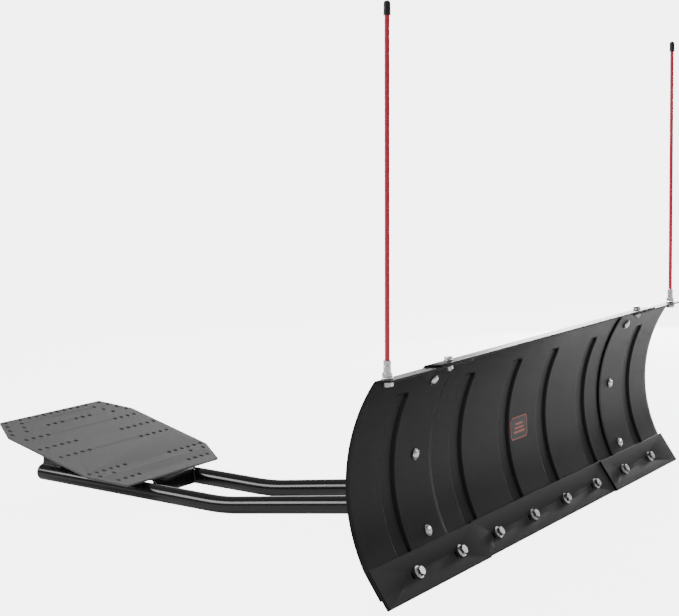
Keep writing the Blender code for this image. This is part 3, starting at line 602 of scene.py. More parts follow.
def side_profile(back):
    """(y, z) points down the back of a section, from the flange's lip to the foot."""
    top = FLANGE_TOP + back
    corner_angle = face_angle(top, back)
    corner = face_point(corner_angle, back)
    bend_start = Vector((corner.x - FLANGE_BEND, top))
    bend_end_angle = corner_angle - FLANGE_BEND / FACE_RADIUS
    bend_end = face_point(bend_end_angle, back)
    points = [Vector((FLANGE_FRONT, top)).lerp(bend_start, k / 6) for k in range(6)]
    for k in range(6):
        t = k / 6
        points.append(bend_start * (1 - t) ** 2 + corner * 2 * t * (1 - t) + bend_end * t * t)
    sweep = FLAT_START - bend_end_angle
    count = round(-sweep * FACE_RADIUS / PROFILE_STEP)
    points += [face_point(bend_end_angle + sweep * k / count, back) for k in range(count)]
    count = round(FLAT_LENGTH / PROFILE_STEP)
    points += [foot_point(FLAT_LENGTH * k / count, back) for k in range(count + 1)]
    return points


def bead_depth(x, z, beads):
    """How far back the nearest bead pushes the sheet. A bead is a long rectangle with round corners."""
    depth = 0.0
    middle, half_height = (BEAD_TOP + BEAD_LOW) / 2, (BEAD_TOP - BEAD_LOW) / 2
    for bead in beads:
        aside = abs(x - bead) - BEAD_HALF + BEAD_CORNER
        above = abs(z - middle) - half_height + BEAD_CORNER
        inside = BEAD_CORNER - math.hypot(max(0.0, aside), max(0.0, above)) - min(0.0, max(aside, above))
        slope = min(1.0, max(0.0, inside / BEAD_WALL))
        depth = max(depth, BEAD_DEPTH * slope * slope * (3 - 2 * slope))
    return depth


# %% The three sections
WALL_CLEAR = 0.006           # no plain column is nearer than this to a bead's wall


def section_columns(low, high, beads):
    """Places across the sheet: wide apart on the plain stretches, close together at the beads' walls."""
    columns = [low + (high - low) * k / 24 for k in range(25)]
    wall = BEAD_HALF - BEAD_WALL / 2
    columns = [x for x in columns if all(abs(abs(x - bead) - wall) > WALL_CLEAR for bead in beads)]
    for bead in beads:
        for side in (-1, 1):
            columns += [bead + side * (BEAD_HALF - BEAD_WALL + BEAD_WALL * 1.1 * k / 9)
                        for k in range(-1, 11)]
            columns += [bead + side * (BEAD_HALF - BEAD_WALL - 0.0025 * k) for k in (1, 2, 3)]
    return sorted(set(round(x, 5) for x in columns))


def section(name, low, high, back, node):
    beads = [bead for bead in BEADS if low + 0.05 < bead < high - 0.05]
    columns = section_columns(low, high, beads)
    profile = side_profile(back)
    bm = bmesh.new()
    grid = []
    for x in columns:
        line = []
        for k, point in enumerate(profile):
            ahead = profile[min(k + 1, len(profile) - 1)] - profile[max(k - 1, 0)]
            out = Vector((-ahead.y, ahead.x)).normalized()
            spot = point + out * bead_depth(x, point.y, beads)
            line.append(bm.verts.new((x, spot.x, spot.y)))
        grid.append(line)
    for left, right_line in zip(grid, grid[1:]):
        for k in range(len(profile) - 1):
            bm.faces.new((left[k], left[k + 1], right_line[k + 1], right_line[k]))
    mesh = bpy.data.meshes.new(name)
    bm.to_mesh(mesh)
    bm.free()
    piece = show(name, mesh, satin_black, "blade", node)
    shell = piece.modifiers.new("sheet", "SOLIDIFY")
    shell.thickness = SHEET
    shell.offset = 1.0
    shell.use_even_offset = True
    rim = piece.modifiers.new("rim", "BEVEL")
    rim.width = 0.0005
    rim.segments = 2
    rim.limit_method = "ANGLE"
    rim.angle_limit = math.radians(60)
    print(name, len(columns), "x", len(profile), "points")


section("centre_section", -CENTRE_HALF, CENTRE_HALF, LAP, "mouldboard_centre")
section("left_section", -BLADE_HALF, -END_SEAM, 0.0, "mouldboard_left")
section("right_section", END_SEAM, BLADE_HALF, 0.0, "mouldboard_right")

# %% [markdown]
# ## The cutting edge
# Three flat bars wear away in place of the sheet. They stand square on their lower corner and lean
# back with the foot of the sheet. Beside each bolt is a slot, so that a worn bar can be moved.

# %% Cutting edge bars
EDGE_HEIGHT, EDGE_THICK, EDGE_SEAM = 0.072, 0.0065, 0.297
EDGE_BOLT_DOWN = 0.0389
EDGE_BOLTS = [0.1524 * (k - 3.5) for k in range(8)]
SLOT_ASIDE, SLOT_LOWER, SLOT_HALF = 0.0200, 0.0015, (0.0030, 0.0060)
LEAN = Vector((math.sin(FLAT_LEAN), math.cos(FLAT_LEAN)))        # up the bar, as (y, z)
OUTWARD = Vector((-math.cos(FLAT_LEAN), math.sin(FLAT_LEAN)))    # out of the bar's front face


def edge_place(back):
    """Frame of a bar: x across the plow, y up the bar from the floor, z out of its front face."""
    middle = foot_point(0.0, back) + OUTWARD * (SHEET + GAP + EDGE_THICK / 2)
    foot = middle - LEAN * ((middle.y - EDGE_THICK / 2 * OUTWARD.y) / LEAN.y)
    return Matrix(((1, 0, 0, 0), (0, LEAN.x, OUTWARD.x, foot.x), (0, LEAN.y, OUTWARD.y, foot.y),
                   (0, 0, 0, 1)))


def slot_loop(x, y, half_width, half_height):
    """A slot with round ends, taller than it is wide."""
    rise = half_height - half_width
    return arc((x, y + rise), half_width, 0, 180, 8) + arc((x, y - rise), half_width, 180, 360, 8)


def edge_bar(name, low, high, back, node):
    place = edge_place(back)
    bolt_up = (place.inverted() @ Vector((0.0, *foot_point(EDGE_BOLT_DOWN)))).y
    slots = [slot_loop(x - SLOT_ASIDE, bolt_up - SLOT_LOWER, *SLOT_HALF)
             for x in EDGE_BOLTS if low < x < high]
    outline = [(low, 0.0), (high, 0.0), (high, EDGE_HEIGHT), (low, EDGE_HEIGHT)]
    show_plate(name, plate(outline, EDGE_THICK, slots, rim=0.0007, place=place), edge_black, "blade", node)


edge_bar("centre_edge_bar", -EDGE_SEAM + GAP, EDGE_SEAM - GAP, LAP, "cutting_edge_centre")
edge_bar("left_edge_bar", -BLADE_HALF, -EDGE_SEAM, 0.0, "cutting_edge_left")
edge_bar("right_edge_bar", EDGE_SEAM, BLADE_HALF, 0.0, "cutting_edge_right")

# %% Backing bar behind the centre section's foot
BACKING_THICK, BACKING_LENGTH, BACKING_HEIGHT = 0.004, 0.460, 0.015      # the last two are halves
backing_deep = EDGE_THICK / 2 + 2 * GAP + SHEET + BACKING_THICK / 2
backing_place = edge_place(LAP) @ Matrix.Translation((0, 0, -backing_deep))
backing_up = (backing_place.inverted() @ Vector((0.0, *foot_point(EDGE_BOLT_DOWN)))).y
backing_outline = [(x * BACKING_LENGTH, backing_up + y * BACKING_HEIGHT)
                   for x, y in ((-1, -1), (1, -1), (1, 1), (-1, 1))]
show_plate("backing_strip", plate(backing_outline, BACKING_THICK, place=backing_place), satin_black, "blade",
           "backing_bar")

# %% [markdown]
# ## Bolts
# The cutting edge is held by hexagon bolts with washers. The seams between the sections have low
# domed heads, as carriage bolts do, so that snow slides over them. Every bolt is turned by its own
# amount, because nobody lines up hexagons.

# %% Bolts with washers and nuts
BOLT_R = 0.005
DISC = 0.0016


def bolt(name, start, end, front, back, head, washer, nut, node, spin, domed=False):
    """start is out in front. front and back are the clamped faces' distances from the middle."""
    front += GAP
    back += GAP
    shells = [stack(disc(front, front + DISC, washer)), stack(disc(-back - DISC, -back, washer))]
    size, height = head
    if domed:
        dome = [(front + DISC + height * math.sin(a), size / 2 * math.cos(a))
                for a in (math.radians(6 * k) for k in range(14, -1, -1))]
        shells.append(stack(dome + [(front + DISC, size / 2)]))
    else:
        shells.append(stack(hex_rings(front + DISC, front + DISC + height, size)))
    nut_size, nut_height = nut
    seat = -back - DISC
    shells.append(stack(hex_rings(seat - nut_height, seat, nut_size, both=True)))
    shells.append(stack(thread(seat - nut_height - 0.0030, seat - nut_height + 0.0004, BOLT_R * 0.96)))
    mesh = joined(shells)
    mesh.transform(along(end, start, spin))
    show(name, mesh, zinc, "blade", node, sharp=25.0)


BOLT_REACH = 0.03            # half of the line that a bolt is placed on


def through(x, point, normal):
    """The two ends of a bolt's line, front end first."""
    return (x, *(point - normal * BOLT_REACH)), (x, *(point + normal * BOLT_REACH))


LAP_FLAT = LAP * math.cos(FLAT_START + FLAT_LEAN)
for number, x in enumerate(EDGE_BOLTS, 1):
    front = SHEET + GAP + EDGE_THICK - (0.0 if abs(x) > EDGE_SEAM else LAP_FLAT)
    back = LAP_FLAT + GAP + BACKING_THICK if abs(x) < BACKING_LENGTH else 0.0
    bolt(f"edge_bolt_set_{number}", *through(x, foot_point(EDGE_BOLT_DOWN), -OUTWARD), front, back,
         (0.0155, 0.0075), 0.0115, (0.0150, 0.008), f"edge_bolt_{number}", spin=number * 0.37)

SEAM_BOLT_X = 0.4385
SEAM_HEIGHTS = {"top": 0.3475, "middle": 0.2155, "low": 0.0800}
FLANGE_BOLT = (0.434, -0.0165)
for word, side in SIDES:
    for count, (level, height) in enumerate(SEAM_HEIGHTS.items()):
        angle = face_angle(height)
        line = through(side * SEAM_BOLT_X, face_point(angle), Vector((math.cos(angle), math.sin(angle))))
        bolt(f"seam_bolt_set_{word}_{level}", *line, SHEET + 0.0005, LAP, (0.0180, 0.0042), 0.0100,
             (0.0150, 0.008), f"seam_bolt_{word}_{level}", spin=side * 0.5 + count, domed=True)
    x, y = side * FLANGE_BOLT[0], FLANGE_BOLT[1]
    bolt(f"flange_bolt_set_{word}", (x, y, FLANGE_TOP + BOLT_REACH), (x, y, FLANGE_TOP - BOLT_REACH), LAP,
         SHEET, (0.0130, 0.0055), 0.0080, (0.0130, 0.0065), f"flange_bolt_{word}", spin=side * 0.8)
print("bolts on the blade:", len(EDGE_BOLTS) + 8)

# %% [markdown]
# ## Marker rods
# The driver can't see the blade over the vehicle, so each end carries a red rod with a black cap. It
# is glued into a zinc socket whose foot is a hexagon, screwed through the flange into a nut. The rods
# lean forward by slightly different amounts, as they would after a few knocks.

# %% Marker rods
MARKER_X, MARKER_Y, MARKER_R, MARKER_LENGTH, MARKER_FOOT = 0.640, -0.0170, 0.004, 0.575, 0.0138
ROD_STEPS, SOCKET_TOP = 40, 0.030
MARKER_LEAN = {"left": math.radians(4.7), "right": math.radians(3.9)}
for word, side in SIDES:
    base = Matrix.Translation((side * MARKER_X, MARKER_Y, FLANGE_TOP + GAP))
    rod_axis = base @ Matrix.Rotation(MARKER_LEAN[word], 4, "X")
    tip = MARKER_FOOT + MARKER_LENGTH
    rod_rings = [(tip - MARKER_LENGTH * k / ROD_STEPS, MARKER_R) for k in range(ROD_STEPS + 1)]
    show(f"marker_{word}_rod", stack(rod_rings, rod_axis), red_fibreglass, "blade", f"marker_rod_{word}")
    cap = [(tip + up, radius) for up, radius in (
        (0.0045, 0.0012), (0.0042, 0.0026), (0.0032, 0.0041), (0.0016, 0.0051), (-0.0002, 0.0055),
        (-0.0162, 0.0056), (-0.0166, 0.0060), (-0.0176, 0.0060), (-0.0180, 0.0056),
        (-0.0180, MARKER_R + 0.0002))]
    show(f"marker_{word}_cap", stack(cap, rod_axis), black_vinyl, "blade", f"marker_cap_{word}")
    sleeve = [(SOCKET_TOP - down, radius) for down, radius in (
        (0.0, MARKER_R + 0.0003), (0.0, 0.0058), (0.0006, 0.0063), (0.0065, 0.0063), (0.0071, 0.0060),
        (0.0082, 0.0060), (0.0088, 0.0063), (0.0200, 0.0063))]
    foot_hex = hex_rings(0.0026, 0.0108, 0.0145)
    socket = joined([stack(sleeve), stack(foot_hex)])
    socket.transform(rod_axis)
    show(f"marker_{word}_socket", socket, zinc, "blade", f"marker_socket_{word}", sharp=25.0)
    under = -SHEET - 2 * GAP
    head = hex_rings(0.0, 0.0072, 0.0165)
    flipped = [(under - 0.0016 - h, radii) for h, radii in reversed(head)]
    nut = joined([stack(disc(0.0, 0.0018, 0.0098)), stack(disc(under - 0.0016, under, 0.0084)),
                  stack(flipped)])
    nut.transform(base)
    show(f"marker_{word}_nut", nut, zinc, "blade", f"marker_nut_{word}", sharp=25.0)
print("marker rods:", MARKER_LENGTH, "m long")

# %% [markdown]
# ## Ribs and springs behind the blade
# Two ribs carry the blade on a hinge rod. When the edge strikes something fixed, the blade trips
# forward over it, and two springs pull it back onto its rest.

# %% Ribs, spring bar and hinge rod
TRIP = Vector((0.096, 0.085))
RIB_X, RIB_REAR, RIB_THICK = 0.165, 0.122, 0.006
SPRING_TOP = Vector((0.090, 0.300))
SPRING_FOOT = Vector((0.225, 0.100))
SPRING_X = 0.120
ROD_R = 0.006
rib_back = LAP + GAP
knuckle = RIB_REAR - TRIP.x
rib_outline = arc(FACE_CENTRE, FACE_RADIUS + rib_back, math.degrees(face_angle(0.330, rib_back)),
                  math.degrees(face_angle(0.078, rib_back)), 48)
rib_outline += arc(TRIP, knuckle, -110, 0, 18)
rib_outline += [(RIB_REAR, 0.235), (0.112, 0.305), (0.098, 0.327), (0.072, 0.334)]
rib_holes = [circle(*TRIP, ROD_R + GAP), circle(*SPRING_TOP, ROD_R + GAP)]
for word, side in SIDES:
    show_plate(f"{word}_rib", plate(rib_outline, RIB_THICK, rib_holes, place=side_plate(side * RIB_X)),
               satin_black, "blade", f"rib_{word}")
    for step in (-1, 1):
        x = side * RIB_X + step * (RIB_THICK / 2 + 0.0008)
        seam = [(x, *face_point(face_angle(0.310 - 0.010 * k, rib_back), rib_back + 0.0006))
                for k in range(22)]
        show(f"{word}_rib_weld_{'outer' if step == side else 'inner'}", weld(seam, radius=0.0036),
             satin_black, "blade")


def cross_rod(name, half, y, z, radius, body, node):
    """A plain zinc rod across the plow."""
    show(name, bar([(-half, y, z), (half, y, z)], radius, 32), zinc, body, node)


cross_rod("spring_cross_bar", 0.185, *SPRING_TOP, ROD_R, "blade", "spring_bar")
cross_rod("trip_rod", 0.186, *TRIP, ROD_R, "swivel", "trip_hinge_rod")

# %% [markdown]
# A coil is a helix, so its points come from a loop. The trip springs are wound tight, and at each end the
# wire leaves the coil and bends into a hook. They join two moving bodies, the swivel at the lower hook and
# the blade at the upper one, but they are attached to neither and stay where they are drawn.

# %% Trip springs
WIRE = 0.0021
COIL_R = 0.0112
HOOK_R = 0.0085
STRAIGHT = 0.036             # from an anchor to the first turn
TURN_STEPS = 20


def trip_spring(x):
    foot, head = Vector((x, *SPRING_FOOT)), Vector((x, *SPRING_TOP))
    axis = (head - foot).normalized()
    side = Vector((1.0, 0.0, 0.0))
    third = axis.cross(side)
    length = (head - foot).length
    start, end = STRAIGHT, length - STRAIGHT
    turns = round((end - start) / (2 * WIRE + 0.0001))
    points = []
    for k in range(13):                                   # lower hook, round the hole in its anchor
        a = math.radians(-60 + 240 * k / 12)
        points.append(foot + axis * (-HOOK_R * math.sin(a) + 0.002) + third * HOOK_R * math.cos(a))
    points += [foot + axis * 0.016 - third * HOOK_R * 0.9, foot + axis * 0.026 - third * HOOK_R]
    steps = turns * TURN_STEPS
    for k in range(steps + 1):
        a = math.tau * k / TURN_STEPS + math.pi
        points.append(foot + axis * (start + (end - start) * k / steps)
                      + COIL_R * (math.cos(a) * third + math.sin(a) * side))
    top = head - axis * 0.002
    points += [head - axis * 0.026 - third * HOOK_R, head - axis * 0.016 - third * HOOK_R * 0.9]
    for k in range(13):                                   # upper hook, over the spring bar
        a = math.radians(180 - 240 * k / 12)
        points.append(top + axis * HOOK_R * math.sin(a) + third * HOOK_R * math.cos(a))
    return bar(points, WIRE, sides=10)


for word, side in SIDES:
    spring = show(f"{word}_trip_spring", trip_spring(side * SPRING_X), spring_steel, None,
                  f"trip_spring_{word}", sharp=60.0)
    foot, head = [tuple(TO_ROW @ Vector((side * SPRING_X, *spot))) for spot in (SPRING_FOOT, SPRING_TOP)]
    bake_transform(spring)
print("trip springs wound")

# %% [markdown]
# ## The swivel
# The swivel turns on the king bolt over the pivot plate, and the index pin drops into one of seven
# holes to hold the blade straight or angled. Its front is a heavy angle with four ears for the hinge
# rod, and the blade's ribs rest against the angle's upright leg.

# %% Swivel plate and bracket
KING_Y, KING_R, INDEX_R = 0.205, 0.008, 0.115
PLATE = 0.006
CROSS_LOW, CROSS_SIZE = 0.022, 0.045
pivot_low = CROSS_LOW + CROSS_SIZE + GAP
swivel_low = pivot_low + PLATE + GAP
swivel_top = swivel_low + PLATE
leg_front = RIB_REAR + GAP
leg_back = leg_front + 0.006
index_y = KING_Y + INDEX_R
TONGUE = 0.026
PIN_R = 0.006
swivel_outline = [(-0.185, leg_back + GAP), (0.185, leg_back + GAP), (0.185, 0.166), (0.140, 0.236),
                  (TONGUE, 0.262)]
swivel_outline += arc((0.0, index_y), TONGUE, 0, 180, 24)
swivel_outline += [(-TONGUE, 0.262), (-0.140, 0.236), (-0.185, 0.166)]
swivel_mesh = plate(swivel_outline, PLATE, [circle(0, KING_Y, KING_R + GAP), circle(0, index_y, PIN_R + GAP)],
                    place=Matrix.Translation((0, 0, swivel_low + PLATE / 2)))
show_plate("swivel_deck", swivel_mesh, satin_black, "swivel", "swivel_plate")

leg_top = 0.132
angle_outline = [(leg_front, swivel_low), (leg_back - 0.0002, swivel_low),
                 (leg_back - 0.0002, swivel_top + GAP),
                 (0.166, swivel_top + GAP), (0.166, swivel_top + GAP + 0.005)]
angle_outline += arc((leg_back + 0.006, swivel_top + GAP + 0.011), 0.006, -90, -180, 6)
angle_outline += [(leg_back, leg_top), (leg_front, leg_top)]
ear_outline = arc(TRIP, 0.020, 120, 290, 28) + [(leg_front + 0.0002, 0.076), (leg_front + 0.0002, 0.122)]
bracket = [plate(angle_outline, 0.372, place=SIDE_VIEW)]
for side in (-1, 1):
    for step in (-1, 1):
        ear_x = side * RIB_X + step * (RIB_THICK / 2 + 0.0012 + 0.003)
        bracket.append(plate(ear_outline, 0.006, [circle(*TRIP, ROD_R + GAP)], place=side_plate(ear_x)))
show_plate("swivel_angle", joined(bracket), satin_black, "swivel", "swivel_bracket")

# %% Lower spring anchor
UPRIGHT = Matrix(((1, 0, 0, 0), (0, 0, -1, 0), (0, 1, 0, 0), (0, 0, 0, 1)))
anchor_low = swivel_top + GAP
anchor_outline = [(-0.136, anchor_low), (0.136, anchor_low)]
anchor_outline += arc((0.122, 0.102), 0.014, 0, 90, 8) + arc((0.104, 0.104), 0.012, 90, 180, 8)
anchor_outline += [(0.085, 0.098), (-0.085, 0.098)]
anchor_outline += arc((-0.104, 0.104), 0.012, 0, 90, 8) + arc((-0.122, 0.102), 0.014, 90, 180, 8)
anchor_holes = [circle(side * SPRING_X, SPRING_FOOT.y, 0.0045) for side in (-1, 1)]
anchor_y = SPRING_FOOT.x + 0.002
show_plate("spring_anchor_bar",
           plate(anchor_outline, 0.005, anchor_holes, place=Matrix.Translation((0, anchor_y, 0)) @ UPRIGHT),
           satin_black, "swivel", "spring_anchor")

# %% King bolt
king_seat = swivel_top + GAP
king_head = stack(hex_rings(king_seat + 0.0026, king_seat + 0.0122, 0.024))
king_parts = [king_head, stack(disc(king_seat, king_seat + 0.0026, 0.0145)),
              stack([(king_seat, KING_R), (CROSS_LOW - 0.0125, KING_R)]),
              stack(thread(CROSS_LOW - 0.0160, CROSS_LOW - 0.0120, KING_R, 0.002))]
at_king = Matrix.Translation((0.0, KING_Y, 0.0))
king = joined(king_parts)
king.transform(at_king @ Matrix.Rotation(0.2, 4, "Z"))
show("king_bolt_head", king, zinc, "push_frame", "king_bolt", sharp=25.0)
king_nut = stack(hex_rings(CROSS_LOW - GAP - 0.013, CROSS_LOW - GAP, 0.024, both=True), at_king)
show("king_lock_nut", king_nut, zinc, "push_frame", "king_nut", sharp=25.0)

# %% Index pin, its housing and its spring
at_index = Matrix.Translation((0.0, index_y, 0.0))
HOUSING_TOP = 0.118
floor_top = swivel_top + 0.0045
bore = PIN_R + GAP
housing = [(HOUSING_TOP - 0.001, 0.012), (swivel_top + GAP, 0.012), (swivel_top + GAP, bore),
           (floor_top, bore), (floor_top, 0.0095), (HOUSING_TOP - 0.004, 0.0095),
           (HOUSING_TOP - 0.004, bore), (HOUSING_TOP, bore), (HOUSING_TOP, 0.011)]
show("index_tube", stack(housing, at_index, hollow=True), satin_black, "swivel", "index_housing", sharp=25.0)
collar_low = floor_top + GAP
collar_top = collar_low + 0.004
PIN_TOP, HANDLE_Z, HANDLE_R = 0.140, 0.134, 0.004
pin_tip = pivot_low - 0.003
pin_rings = [(PIN_TOP, 0.0080), (PIN_TOP - 0.001, 0.009), (0.128, 0.009), (0.1245, PIN_R),
             (collar_top, PIN_R),
             (collar_top, 0.0088), (collar_low, 0.0088), (collar_low, PIN_R), (pin_tip + 0.003, PIN_R),
             (pin_tip, PIN_R - 0.002)]
handle = bar([(-0.028, index_y, HANDLE_Z), (0.028, index_y, HANDLE_Z)], HANDLE_R)
show("index_pin_pull", joined([stack(pin_rings, at_index), handle]), zinc, "index_pin", "index_pin",
     sharp=30.0)
spring_low, spring_high = collar_top + 0.0008, HOUSING_TOP - 0.0050
PIN_COIL_R, PIN_COIL_WIRE, PIN_COIL_SIDES, PIN_COIL_TURNS = 0.0077, 0.0008, 16, 7
coil_steps = PIN_COIL_SIDES * PIN_COIL_TURNS
helix = []
for k in range(coil_steps + 1):
    spin = math.tau * k / PIN_COIL_SIDES
    helix.append((PIN_COIL_R * math.cos(spin), index_y + PIN_COIL_R * math.sin(spin),
                  spring_low + (spring_high - spring_low) * k / coil_steps))
coil = show("index_coil", bar(helix, PIN_COIL_WIRE, sides=8, soft=0.0), spring_steel, None, "index_spring",
            sharp=60.0)
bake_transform(coil)
print("index pin stands", round(PIN_TOP - swivel_top, 3), "m above the swivel")

# %% [markdown]
# ## The push frame
# Two bent round tubes push the blade. They are welded to a square cross tube in front, which carries
# the half-round pivot plate with seven index holes, and to an angle near the back.

# %% Push tubes
TUBE_X, TUBE_R, TUBE_BORE = 0.092, 0.01905, 0.0165
TUBE_FRONT, TUBE_END = 0.2325, 1.291
BEND_AT, BEND_RADIUS = Vector((0.757, 0.0178)), 0.50
FRONT_SLOPE, REAR_SLOPE = 0.0506, 0.1052
WELD_PROUD = 0.0006          # a weld's middle stands this far off the metal


def tube_height(y):
    return BEND_AT.y + (FRONT_SLOPE * (BEND_AT.x - y) if y < BEND_AT.x else REAR_SLOPE * (y - BEND_AT.x))


def tube_path():
    fall, climb = math.atan(FRONT_SLOPE), math.atan(REAR_SLOPE)
    reach = BEND_RADIUS * math.tan((fall + climb) / 2)
    start = BEND_AT + reach * Vector((-math.cos(fall), math.sin(fall)))
    centre = start + BEND_RADIUS * Vector((math.sin(fall), math.cos(fall)))
    bend = arc(centre, BEND_RADIUS, -90 - math.degrees(fall), -90 + math.degrees(climb), 20)
    return [(TUBE_FRONT, tube_height(TUBE_FRONT)), *bend, (TUBE_END, tube_height(TUBE_END))]


def tube_collar(x, y):
    """A loop just outside a tube at one place on its front stretch, for a weld."""
    radius = TUBE_R + WELD_PROUD
    return [(x + across, y + FRONT_SLOPE * up, tube_height(y) + up)
            for across, up in arc((0.0, 0.0), radius, 0, 360, 48)]


for word, side in SIDES:
    path = [(side * TUBE_X, y, z) for y, z in tube_path()]
    show(f"{word}_tube", pipe(path, TUBE_R, TUBE_BORE), gloss_black, "push_frame", f"push_tube_{word}")
    show(f"{word}_tube_weld", weld(tube_collar(side * TUBE_X, TUBE_FRONT + 0.0010), radius=0.0038),
         gloss_black, "push_frame")
    lip = 2 * GAP
    plug = [(lip + 0.0045, 0.0110), (lip + 0.0040, 0.0140), (lip + 0.0028, 0.0167), (lip + 0.0012, 0.0181),
            (lip, 0.0181), (lip, 0.0150), (-0.014, 0.0148)]
    turn = Matrix.Rotation(math.atan(REAR_SLOPE) - math.pi / 2, 4, "X")
    plug_place = Matrix.Translation((side * TUBE_X, TUBE_END, tube_height(TUBE_END))) @ turn
    show(f"{word}_tube_plug", stack(plug, plug_place), black_vinyl, "push_frame", f"tube_plug_{word}")

# %% Cross tube and pivot plate
def soft_square(y, z, half, radius):
    points = []
    for k, (sy, sz) in enumerate(((1, 1), (-1, 1), (-1, -1), (1, -1))):
        points += arc((y + sy * (half - radius), z + sz * (half - radius)), radius, 90 * k, 90 * k + 90, 6)
    return points


cross_front = KING_Y + 0.0035 - CROSS_SIZE / 2
cross_at = (cross_front + CROSS_SIZE / 2, CROSS_LOW + CROSS_SIZE / 2)
cross = plate(soft_square(*cross_at, CROSS_SIZE / 2, 0.005), 0.260,
              [soft_square(*cross_at, CROSS_SIZE / 2 - 0.003, 0.0025)], rim=0.0004, place=SIDE_VIEW)
show_plate("square_cross_tube", cross, gloss_black, "push_frame", "front_cross_tube")
PIVOT_R = 0.140
INDEX_STEP, INDEX_ASIDE = 10, 3      # degrees between holes, and holes on each side of the middle one
pivot_outline = [(-PIVOT_R, KING_Y - 0.019), (PIVOT_R, KING_Y - 0.019)]
pivot_outline += arc((0, KING_Y), PIVOT_R, 0, 180, 72)
pivot_holes = [circle(0, KING_Y, KING_R + GAP)]
for k in range(-INDEX_ASIDE, INDEX_ASIDE + 1):
    spin = math.radians(90 + INDEX_STEP * k)
    pivot_holes.append(circle(INDEX_R * math.cos(spin), KING_Y + INDEX_R * math.sin(spin), PIN_R + GAP))
show_plate("half_round_plate",
           plate(pivot_outline, PLATE, pivot_holes, place=Matrix.Translation((0, 0, pivot_low + PLATE / 2))),
           satin_black, "push_frame", "pivot_plate")
cross_top = CROSS_LOW + CROSS_SIZE
pivot_weld = [(x, cross_front + CROSS_SIZE + 0.0008, cross_top + 0.0004) for x in (-0.118, 0.118)]
show("pivot_weld", weld(pivot_weld, radius=0.0034), satin_black, "push_frame")

# %% Lift bar and loop
LIFT_Y, LIFT_R = 0.400, 0.008
LOOP_R, LOOP_LEG, LOOP_WELD_R = 0.022, 0.020, 0.0056
lift_z = tube_height(LIFT_Y) + TUBE_R + LIFT_R + 2 * GAP
show("lift_cross_bar", bar([(-0.118, LIFT_Y, lift_z), (0.118, LIFT_Y, lift_z)], LIFT_R, 32), gloss_black,
     "push_frame", "lift_bar")
loop_foot = lift_z + LIFT_R + GAP
loop_top = loop_foot + LOOP_LEG
loop = [(-LOOP_R, LIFT_Y, loop_foot), (-LOOP_R, LIFT_Y, loop_top)]
loop += [(x, LIFT_Y, loop_top + z) for x, z in arc((0, 0), LOOP_R, 172, 8, 24)]
loop += [(LOOP_R, LIFT_Y, loop_top), (LOOP_R, LIFT_Y, loop_foot)]
show("lift_eye", bar(loop, 0.005, 24, soft=0.0004), zinc, "push_frame", "lift_loop")
for word, side in SIDES:
    collar = [(x, y, loop_foot - WELD_PROUD)
              for x, y in arc((side * LOOP_R, LIFT_Y), LOOP_WELD_R, 0, 360, 24)]
    show(f"lift_weld_{word}", weld(collar, radius=0.0022), gloss_black, "push_frame")
for word, side in SIDES:
    for step in (-1, 1):
        seam = [(side * TUBE_X - 0.010, LIFT_Y + step * 0.0050, lift_z - 0.0070),
                (side * TUBE_X + 0.010, LIFT_Y + step * 0.0050, lift_z - 0.0070)]
        show(f"lift_bar_weld_{word}_{'back' if step > 0 else 'front'}", weld(seam, radius=0.0026),
             gloss_black, "push_frame")

# %% Rear cross angle
ANGLE_Y, ANGLE_TOP, ANGLE_LEG, ANGLE_THICK = 0.966, 0.0640, 0.038, 0.004
angle_half = TUBE_X - TUBE_R - GAP
outline = [(ANGLE_Y + ANGLE_LEG, ANGLE_TOP), (ANGLE_Y + ANGLE_LEG, ANGLE_TOP - ANGLE_THICK)]
outline += arc((ANGLE_Y + ANGLE_THICK + 0.004, ANGLE_TOP - ANGLE_THICK - 0.004), 0.004, 90, 180, 6)
outline += [(ANGLE_Y + ANGLE_THICK, ANGLE_TOP - ANGLE_LEG), (ANGLE_Y, ANGLE_TOP - ANGLE_LEG)]
outline += arc((ANGLE_Y + 0.002, ANGLE_TOP - 0.002), 0.002, 180, 90, 4)
show_plate("rest_angle", plate(outline, 2 * angle_half, place=SIDE_VIEW), gloss_black, "push_frame",
           "rear_cross_angle")
for word, side in SIDES:
    seam = [(side * (angle_half + 0.0004), ANGLE_Y - 0.0006, ANGLE_TOP - 0.004 - 0.006 * k) for k in range(6)]
    show(f"rest_angle_weld_{word}", weld(seam, radius=0.0028), gloss_black, "push_frame")

# %% Hinge lugs
HINGE = Vector((1.258, 0.117))
HINGE_R = 0.005
LUG_THICK = 0.008
lug_ends = (1.222, 1.286)


def tube_top(y):
    return tube_height(y) + TUBE_R / math.cos(math.atan(REAR_SLOPE)) + GAP


lug_outline = [(lug_ends[0], tube_top(lug_ends[0])), (lug_ends[1], tube_top(lug_ends[1])),
               (lug_ends[1] - 0.008, HINGE.y - 0.002)] + arc(HINGE, 0.013, 10, 170, 24)
for word, side in SIDES:
    lug = plate(lug_outline, LUG_THICK, [circle(*HINGE, HINGE_R + GAP)], place=side_plate(side * TUBE_X))
    show_plate(f"{word}_lug", lug, gloss_black, "push_frame", f"hinge_lug_{word}")
    for step in (-1, 1):
        x = side * TUBE_X + step * (LUG_THICK / 2 + 0.0006)
        seam = [(x, y, tube_top(y) - 0.0002) for y in (lug_ends[0] + 0.002, lug_ends[1] - 0.002)]
        show(f"{word}_lug_weld_{'right' if step > 0 else 'left'}", weld(seam, radius=0.0030), gloss_black,
             "push_frame")

# %% [markdown]
# ## The mount plate
# The vehicle's frame is clamped to this plate with U-bolts, and it has to fit many makes, so it is
# drilled all over. The rows repeat at one pitch, mirrored about the middle.

